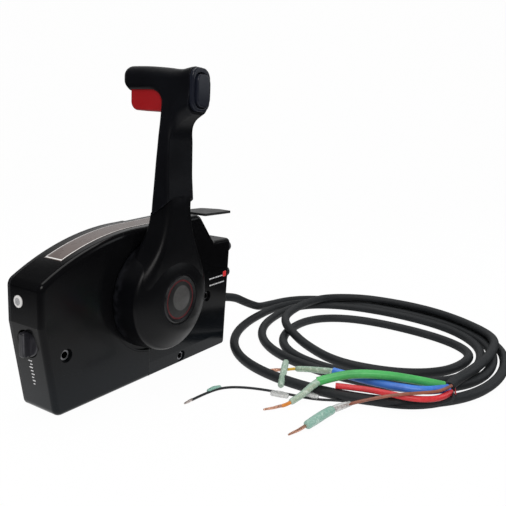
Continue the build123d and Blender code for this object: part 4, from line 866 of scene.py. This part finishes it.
PALE_SLEEVES = sleeve(
    "pale_sleeves", SLEEVE_PALE,
    ([(56, -191, 3.6), (55, -185, 3.8), (53.5, -178, 3.6)], [2.4, 3.1, 2.6], 1.0),
    ([(39.5, -166, 3.4), (38, -158, 3.8), (35, -148, 3.4)], [2.6, 3.4, 2.8], 1.0),
)
STANDING_SLEEVE = sleeve(
    "standing_sleeve", FINISHES["sleeve_clear"],
    ([(93, -132, 15), (81, -137, 12.6), (67, -143, 8.6), (53, -149, 4.6)], [3.6, 3.7, 3.7, 3.3], 1.0),
)
FLOOR_SLEEVE = sleeve(
    "black_wire_sleeve", SLEEVE_TEAL,
    ([(17, -99, 2.6), (9, -96.2, 2.8), (0, -95, 2.6)], [1.7, 2.3, 1.8], 1.0),
)


def core(name, parts, finish):
    """Thin insulated cores, each a tube along its own points."""
    return make_piece(name, [tube(points, radii, 12) for points, radii in parts], finish, "housing")


ORANGE_CORES = core("orange_cores", [
    ([(143, -296.5, 19), (137, -295, 19), (129, -287, 20.2)], [1.5, 1.5, 1.5]),
    ([(60, -185, 15), (42, -180.5, 8.8), (24, -175.5, 4.8), (16, -171.5, 3.4)], [1.8, 1.8, 1.8, 1.7]),
], CORE_ORANGE)
YELLOW_CORES = core("yellow_cores", [
    ([(143, -298, 17), (137, -297.5, 17), (129, -294, 16.6)], [1.3, 1.3, 1.3]),
    ([(100, -180, 14.4), (99, -160, 11), (96, -143, 8.4), (92, -134, 6.4)], [1.6, 1.6, 1.6, 1.5]),
], CORE_YELLOW)
RED_CORES = core("red_cores", [
    ([(143, -299, 14.8), (137, -300, 14.5), (129, -300.5, 13.8)], [1.3, 1.3, 1.3]),
    ([(143, -301, 16.6), (136, -303.5, 15), (130, -305.5, 13.4)], [0.9, 0.9, 0.9]),
], CORE_DARK_RED)
WHITE_CORES = core("white_cores", [
    ([(94, -133, 15), (88, -135, 13.8), (70, -141.8, 9.6), (54, -148.6, 4.8)], [1.1, 1.1, 1.1, 1.1]),
], CORE_WHITE)


def bare_end(name, points, radii, finish):
    """Twisted strands at the end of a core."""
    return make_piece(name, [tube(points, radii, 24, 5)], finish, "housing")


GREEN_END = bare_end(
    "green_wire_end", [(17, -172, 3.6), (9, -165.5, 2.4), (2, -160, 1.7)], [1.5, 1.2, 0.9], COPPER,
)
BLUE_END = bare_end(
    "blue_wire_end", [(93, -136, 6.8), (89, -123, 4.2), (85, -114, 2.6)], [1.5, 1.7, 1.1], COPPER,
)
BROWN_END = bare_end(
    "brown_wire_end", [(8, -211.3, 5), (-12, -207.5, 3.4), (-26, -203, 2)], [1.5, 1.4, 0.9], COPPER,
)
BLACK_END = bare_end(
    "black_wire_end", [(-22, -94, 1.7), (-28, -93.4, 1.5), (-34, -93, 1.2)], [1.2, 1.3, 0.8], TINNED,
)

for name, length, diameter, pieces in (
    ("green", 0.130, 0.009, [GREEN_SLEEVE, GREEN_END]),
    ("blue", 0.123, 0.0084, [BLUE_SLEEVE, BLUE_END]),
    ("red", 0.129, 0.006, []),
    ("black", 0.295, 0.0026, [FLOOR_SLEEVE, BLACK_END, PALE_SLEEVES, STANDING_SLEEVE, WHITE_CORES]),
    ("brown", 0.163, 0.0032, [TEAL_SLEEVE, JOINT_SLEEVE, BROWN_END]),
):
    lead, points = LEADS[name]
    exit_point = tuple(value * MM for value in points[0])


# ---------------------------------------------------------------- markings
STRIP = (-110.0, 44.0)    # from and to, along the box
STRIP_HALF = 11.5
BORDER = 10.4             # half width between the middles of the pale side lines
BORDER_END = -108.6       # middle of the pale line across the end
SCALE_TOP, SCALE_PITCH = 52.0, 3.3
FLAG_AT = (124.6, 90.8)
SEAM_AT = (-7.0, 17.5)


def crown_circle():
    """Centre and radius of the circle through the three points of the crown's arc."""
    (ax, az), (bx, bz), (cx, cz) = CROWN[:3]
    left = np.array([[bx - ax, bz - az], [cx - bx, cz - bz]])
    right = 0.5 * np.array([bx ** 2 - ax ** 2 + bz ** 2 - az ** 2, cx ** 2 - bx ** 2 + cz ** 2 - bz ** 2])
    centre = np.linalg.solve(left, right)
    return centre, np.hypot(ax - centre[0], az - centre[1])


def crown_strip():
    """Blank legend strip on the crown: its height follows the crown's arc and then its straight, by the place
    along the box."""
    stretch = np.linspace(*STRIP, 60)
    centre, radius = crown_circle()
    on_arc = centre[1] + np.sqrt(radius ** 2 - (stretch - centre[0]) ** 2)
    (bend_x, bend_z), (end_x, end_z) = CROWN[2:]
    straight = bend_z + (stretch - bend_x) * (end_z - bend_z) / (end_x - bend_x)
    height = np.where(stretch < bend_x, on_arc, straight)
    width = np.linspace(-STRIP_HALF, STRIP_HALF, 9)
    top = np.stack(np.broadcast_arrays(stretch[:, None], width[None, :], height[:, None] + 0.22), axis=-1)
    under = top - (0, 0, 0.5)
    return np.concatenate([top, under[:, ::-1]], axis=1)


def strip_finish():
    """Satin strip with a thin pale border line, drawn by the distance from its edges; its brownish-pink tone
    is a painted sheen.
    """
    made = Finish("strip_film", Specular_IOR_Level=0.5)
    stretch, across, _ = made.split(made.place())
    side = (across.size() - BORDER * MM).size()
    end = (stretch - BORDER_END * MM).size()
    inside = 1 - across.size().clamped((BORDER + 0.2) * MM, (BORDER + 0.5) * MM)
    beyond = (stretch - (BORDER_END - 0.4) * MM).clamped(0.0, 0.3 * MM)
    line = 1 - side.clamped(0.35 * MM, 0.6 * MM)
    end_line = (1 - end.clamped(0.5 * MM, 0.8 * MM)) * inside
    drawn = (line * beyond + end_line).clamped(0.2, 0.8)
    haze = made.noise(70, 4).clamped(0.35, 0.7)
    # painted sheen: the strip's brownish-pink tone stands in for the reflection of the backdrop
    sheen_film = made.mix(haze, rgba(0.095, 0.072, 0.066), rgba(0.13, 0.104, 0.096))
    made.paint(made.mix(drawn, sheen_film, rgba(0.75, 0.74, 0.73)))
    made.drive("Roughness", haze * 0.1 + 0.24)
    made.bump(made.noise(900, 3) + drawn, 0.00003)
    return made.material


make_piece("crown_strip", [crown_strip()], strip_finish(), "housing")


def dashes(z, x_from, x_to, tilt, half_high):
    """Row of plain dashes on the face of the right cover, longer and shorter in turn."""
    pieces = []
    x = x_from
    for length in np.resize([3.4, 2.2, 2.8, 1.8, 3.0], 30):
        if x + length > x_to:
            break
        centre = (x + length / 2, FACE_Y - 0.05, z + tilt * (x - x_from))
        pieces.append(pad(centre, (1, 0, 0), (0, 0, 1), length / 2, half_high, 0.12))
        x += length + 0.7
    return pieces


ROWS = dashes(89.0, 94, 121, 0.02, 0.75) + dashes(81.0, 95, 127, 0.02, 0.75)
make_piece("face_rows", ROWS, MARK_WHITE, "housing")
FLAG = [pad((FLAG_AT[0], FACE_Y - 0.05, FLAG_AT[1]), (1, 0, 0), (0, 0, 1), 3.3, 3.4, 0.14)]
make_piece("face_flag", FLAG, MARK_RED, "housing")
SEAM = [pad((SEAM_AT[0], FACE_Y - 0.02, SEAM_AT[1]), (1, 0, 0), (0, 0, 1), 0.32, 16.5, 0.06)]
make_piece("face_seam", SEAM, FINISHES["housing_black"], "housing")

# bars of the friction scale from the top, as (Y, half length)
BARS = [(0.6, 2.6), (-0.4, 1.6), (0.8, 2.4), (0.2, 1.8), (-0.2, 2.2), (0.6, 1.4), (0.0, 2.0), (0.4, 1.2)]


def friction_scale():
    """Plain scale under the friction knob: longer and shorter bars, one under another on the sloping end."""
    pieces = []
    for number, (y, half) in enumerate(BARS):
        z = SCALE_TOP - SCALE_PITCH * number
        x = END_X + (END_BEND_Z - z) * END_SLOPE - 0.04
        pieces.append(pad((x, y, z), (0, -1, 0), (0.16, 0, 1), half, 0.5, 0.12))
    return pieces


make_piece("friction_scale", friction_scale(), MARK_WHITE, "housing")


# ---------------------------------------------------------------- outer ends of the two switches
BULB = 7.6                # radius of a switch's outer end
TURNED_SIDES = 40         # points round a turned end


def turned(profile, z):
    """Surface of revolution about an axis along X at a height: (x, radius) points, each a circle."""
    angle = np.linspace(0, 2 * pi, TURNED_SIDES, endpoint=False)
    x, radius = np.array(profile, float).T[:, :, None]
    return np.stack(np.broadcast_arrays(x, radius * np.cos(angle), z + radius * np.sin(angle)), axis=-1)


def barrel_end(node, reach, stem, seat):
    """Turned body from a switch's own piece outwards: a stem in its bore as far as the seat, a neck, then a
    bulb whose end is bowed as a quarter of an ellipse."""
    low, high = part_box(node)
    root, z = low[0] / MM, (low[2] + high[2]) / 2 / MM
    neck = (high[2] - low[2]) / 2 / MM * 0.8
    tip = high[0] / MM + reach
    shank = [(root, stem), (seat, stem), (seat + 0.3, neck), (tip - 13, neck)]
    shoulder = [(tip - 12, BULB - 0.8), (tip - 11, BULB)]
    bow = [(tip - 9 + 9 * sin(a), BULB * (0.62 + 0.38 * cos(a))) for a in map(radians, (0, 20, 40, 60, 80))]
    return turned(shank + shoulder + bow, z)


def stop_finish(tip):
    """Black collar whose end is red, by the distance along the box."""
    made = Finish("stop_button_red", Specular_IOR_Level=0.35)
    end = made.split(made.place())[0].clamped((tip - 1.2) * MM, (tip - 0.6) * MM)
    haze = made.noise(120, 4).clamped(0.35, 0.7)
    black = made.mix(haze, rgba(0.006, 0.0065, 0.007), rgba(0.01, 0.0105, 0.011))
    made.paint(made.mix(end, black, rgba(0.45, 0.01, 0.012)))
    made.drive("Roughness", haze * 0.1 + 0.36)
    made.bump(made.noise(1400, 3), 0.00003)
    return made.material


KEY_SHAPE = barrel_end("key_barrel", 15.5, 5.0, 142.0)
KEY_END = make_piece("key_barrel_skin", [KEY_SHAPE], FINISHES["knob_black"], "key")
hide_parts("key_barrel")
STOP_SHAPE = barrel_end("stop_button", 14.5, 3.7, 142.4)
STOP_FINISH = stop_finish(STOP_SHAPE[-1, 0, 0])
STOP_END = make_piece("stop_button_skin", [STOP_SHAPE], STOP_FINISH, "stop")
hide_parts("stop_button")


# ---------------------------------------------------------------- stage and light
FLOOR_TURN = -57.7        # degrees, so that the wall faces the camera
FLOOR_TONE = (0.86, 0.86, 0.87)
FLOOR_LIFT = 0.97         # share of white where the camera, gloss or glass sees it; below 1 keeps the shadow
FLOOR_FADE = (0.15, 0.6)  # metres from the middle between which the floor goes out of the gloss


def stage_finish():
    """Pale ground: lit as it is, and lifted to white where the camera, gloss or glass sees it. In gloss the
    floor fades out away from the object, and the wall behind it stays pale."""
    made = Finish("ground_white", Base_Color=rgba(*FLOOR_TONE), Roughness=0.9, Specular_IOR_Level=0.0)
    seen = made.node("ShaderNodeLightPath", out="Is Camera Ray")
    gloss = made.node("ShaderNodeLightPath", out="Is Glossy Ray")
    through = made.node("ShaderNodeLightPath", out="Is Transmission Ray")
    east, north, height = made.split(made.place())
    radius = (east * east + north * north) ** 0.5
    shown = 1 - radius.clamped(*FLOOR_FADE) + height.clamped(0.25, 0.9) * 0.7
    tone = made.mix(gloss * (1 - shown), rgba(1, 1, 1), rgba(0, 0, 0))
    glow = made.node("ShaderNodeEmission", values={"Color": tone, "Strength": 1.0})
    share = (seen + gloss + through) * FLOOR_LIFT
    lit = Value(made, made.shader.outputs[0])
    mixed = made.node("ShaderNodeMixShader", values={0: share, 1: lit, 2: glow})
    made.tree.links.new(mixed.socket, made.tree.nodes["Material Output"].inputs["Surface"])
    return made.material


def ground():
    """Floor that rises behind the object: straight, quarter arc and straight in section, carried across and
    turned towards the camera."""
    radius, back, front, top, half = 1.2, 1.6, -3.0, 2.8, 3.5
    flat_y = np.linspace(front, back, 16)
    angle = np.linspace(0, pi / 2, 24)[1:]
    y = np.concatenate([flat_y, back + radius * np.sin(angle), [back + radius]])
    z = np.concatenate([np.zeros(len(flat_y)), radius * (1 - np.cos(angle)), [top]])
    x = np.linspace(-half, half, 40)
    points = np.stack(np.broadcast_arrays(x[:, None], y[None, :], z[None, :]), axis=-1)
    rows, columns = points.shape[:2]
    row, column = np.meshgrid(np.arange(rows - 1), np.arange(columns - 1), indexing="ij")
    a = row * columns + column
    quads = np.stack([a, a + columns, a + columns + 1, a + 1], axis=-1).reshape(-1, 4)
    turn = radians(FLOOR_TURN)
    spin = np.array([[cos(turn), sin(turn), 0], [-sin(turn), cos(turn), 0], [0, 0, 1]])
    spun = points.reshape(-1, 3) @ spin
    mesh = bpy.data.meshes.new("ground")
    mesh.from_pydata(spun.tolist(), [], quads.tolist())
    mesh.shade_smooth()
    mesh.materials.append(stage_finish())
    floor = bpy.data.objects.new("ground", mesh)
    bpy.context.scene.collection.objects.link(floor)


ground()


def soft_light(name, place, target, width, height, power, colour):
    """Rectangular lamp that faces a point."""
    data = bpy.data.lights.new(name, "AREA")
    data.shape = "RECTANGLE"
    data.size, data.size_y = width, height
    data.energy = power
    data.color = colour
    lamp = bpy.data.objects.new(name, data)
    bpy.context.scene.collection.objects.link(lamp)
    lamp.location = place
    lamp.rotation_mode = "QUATERNION"
    lamp.rotation_quaternion = (Vector(target) - Vector(place)).to_track_quat("-Z", "Y")


soft_light("key", (-1.5, -1.1, 1.7), (0.05, -0.05, 0.1), 1.2, 1.0, 26, (1.0, 0.97, 0.95))
soft_light("side", (1.4, -1.5, 1.0), (0.1, -0.1, 0.1), 0.9, 1.2, 6, (0.94, 0.97, 1.0))
soft_light("top", (0.1, 0.3, 2.0), (0.1, -0.1, 0.0), 1.6, 1.2, 18, (1.0, 0.99, 0.98))


class Air(Finish):
    """World whose one shader is its background."""

    def __init__(self, name):
        self.world = bpy.data.worlds.new(name)
        self.world.use_nodes = True
        self.tree = self.world.node_tree
        self.shader = self.tree.nodes["Background"]


def studio_air():
    """Even light on the object; the camera and glass see white, and gloss sees next to nothing."""
    made = Air("studio")
    seen = made.node("ShaderNodeLightPath", out="Is Camera Ray")
    gloss = made.node("ShaderNodeLightPath", out="Is Glossy Ray")
    through = made.node("ShaderNodeLightPath", out="Is Transmission Ray")
    made.shader.inputs["Color"].default_value = rgba(1, 1, 1)
    made.drive("Strength", seen.at_least(through).at_least(gloss * -0.42 + 0.5))
    bpy.context.scene.world = made.world


studio_air()
bpy.context.scene.view_settings.view_transform = "Standard"
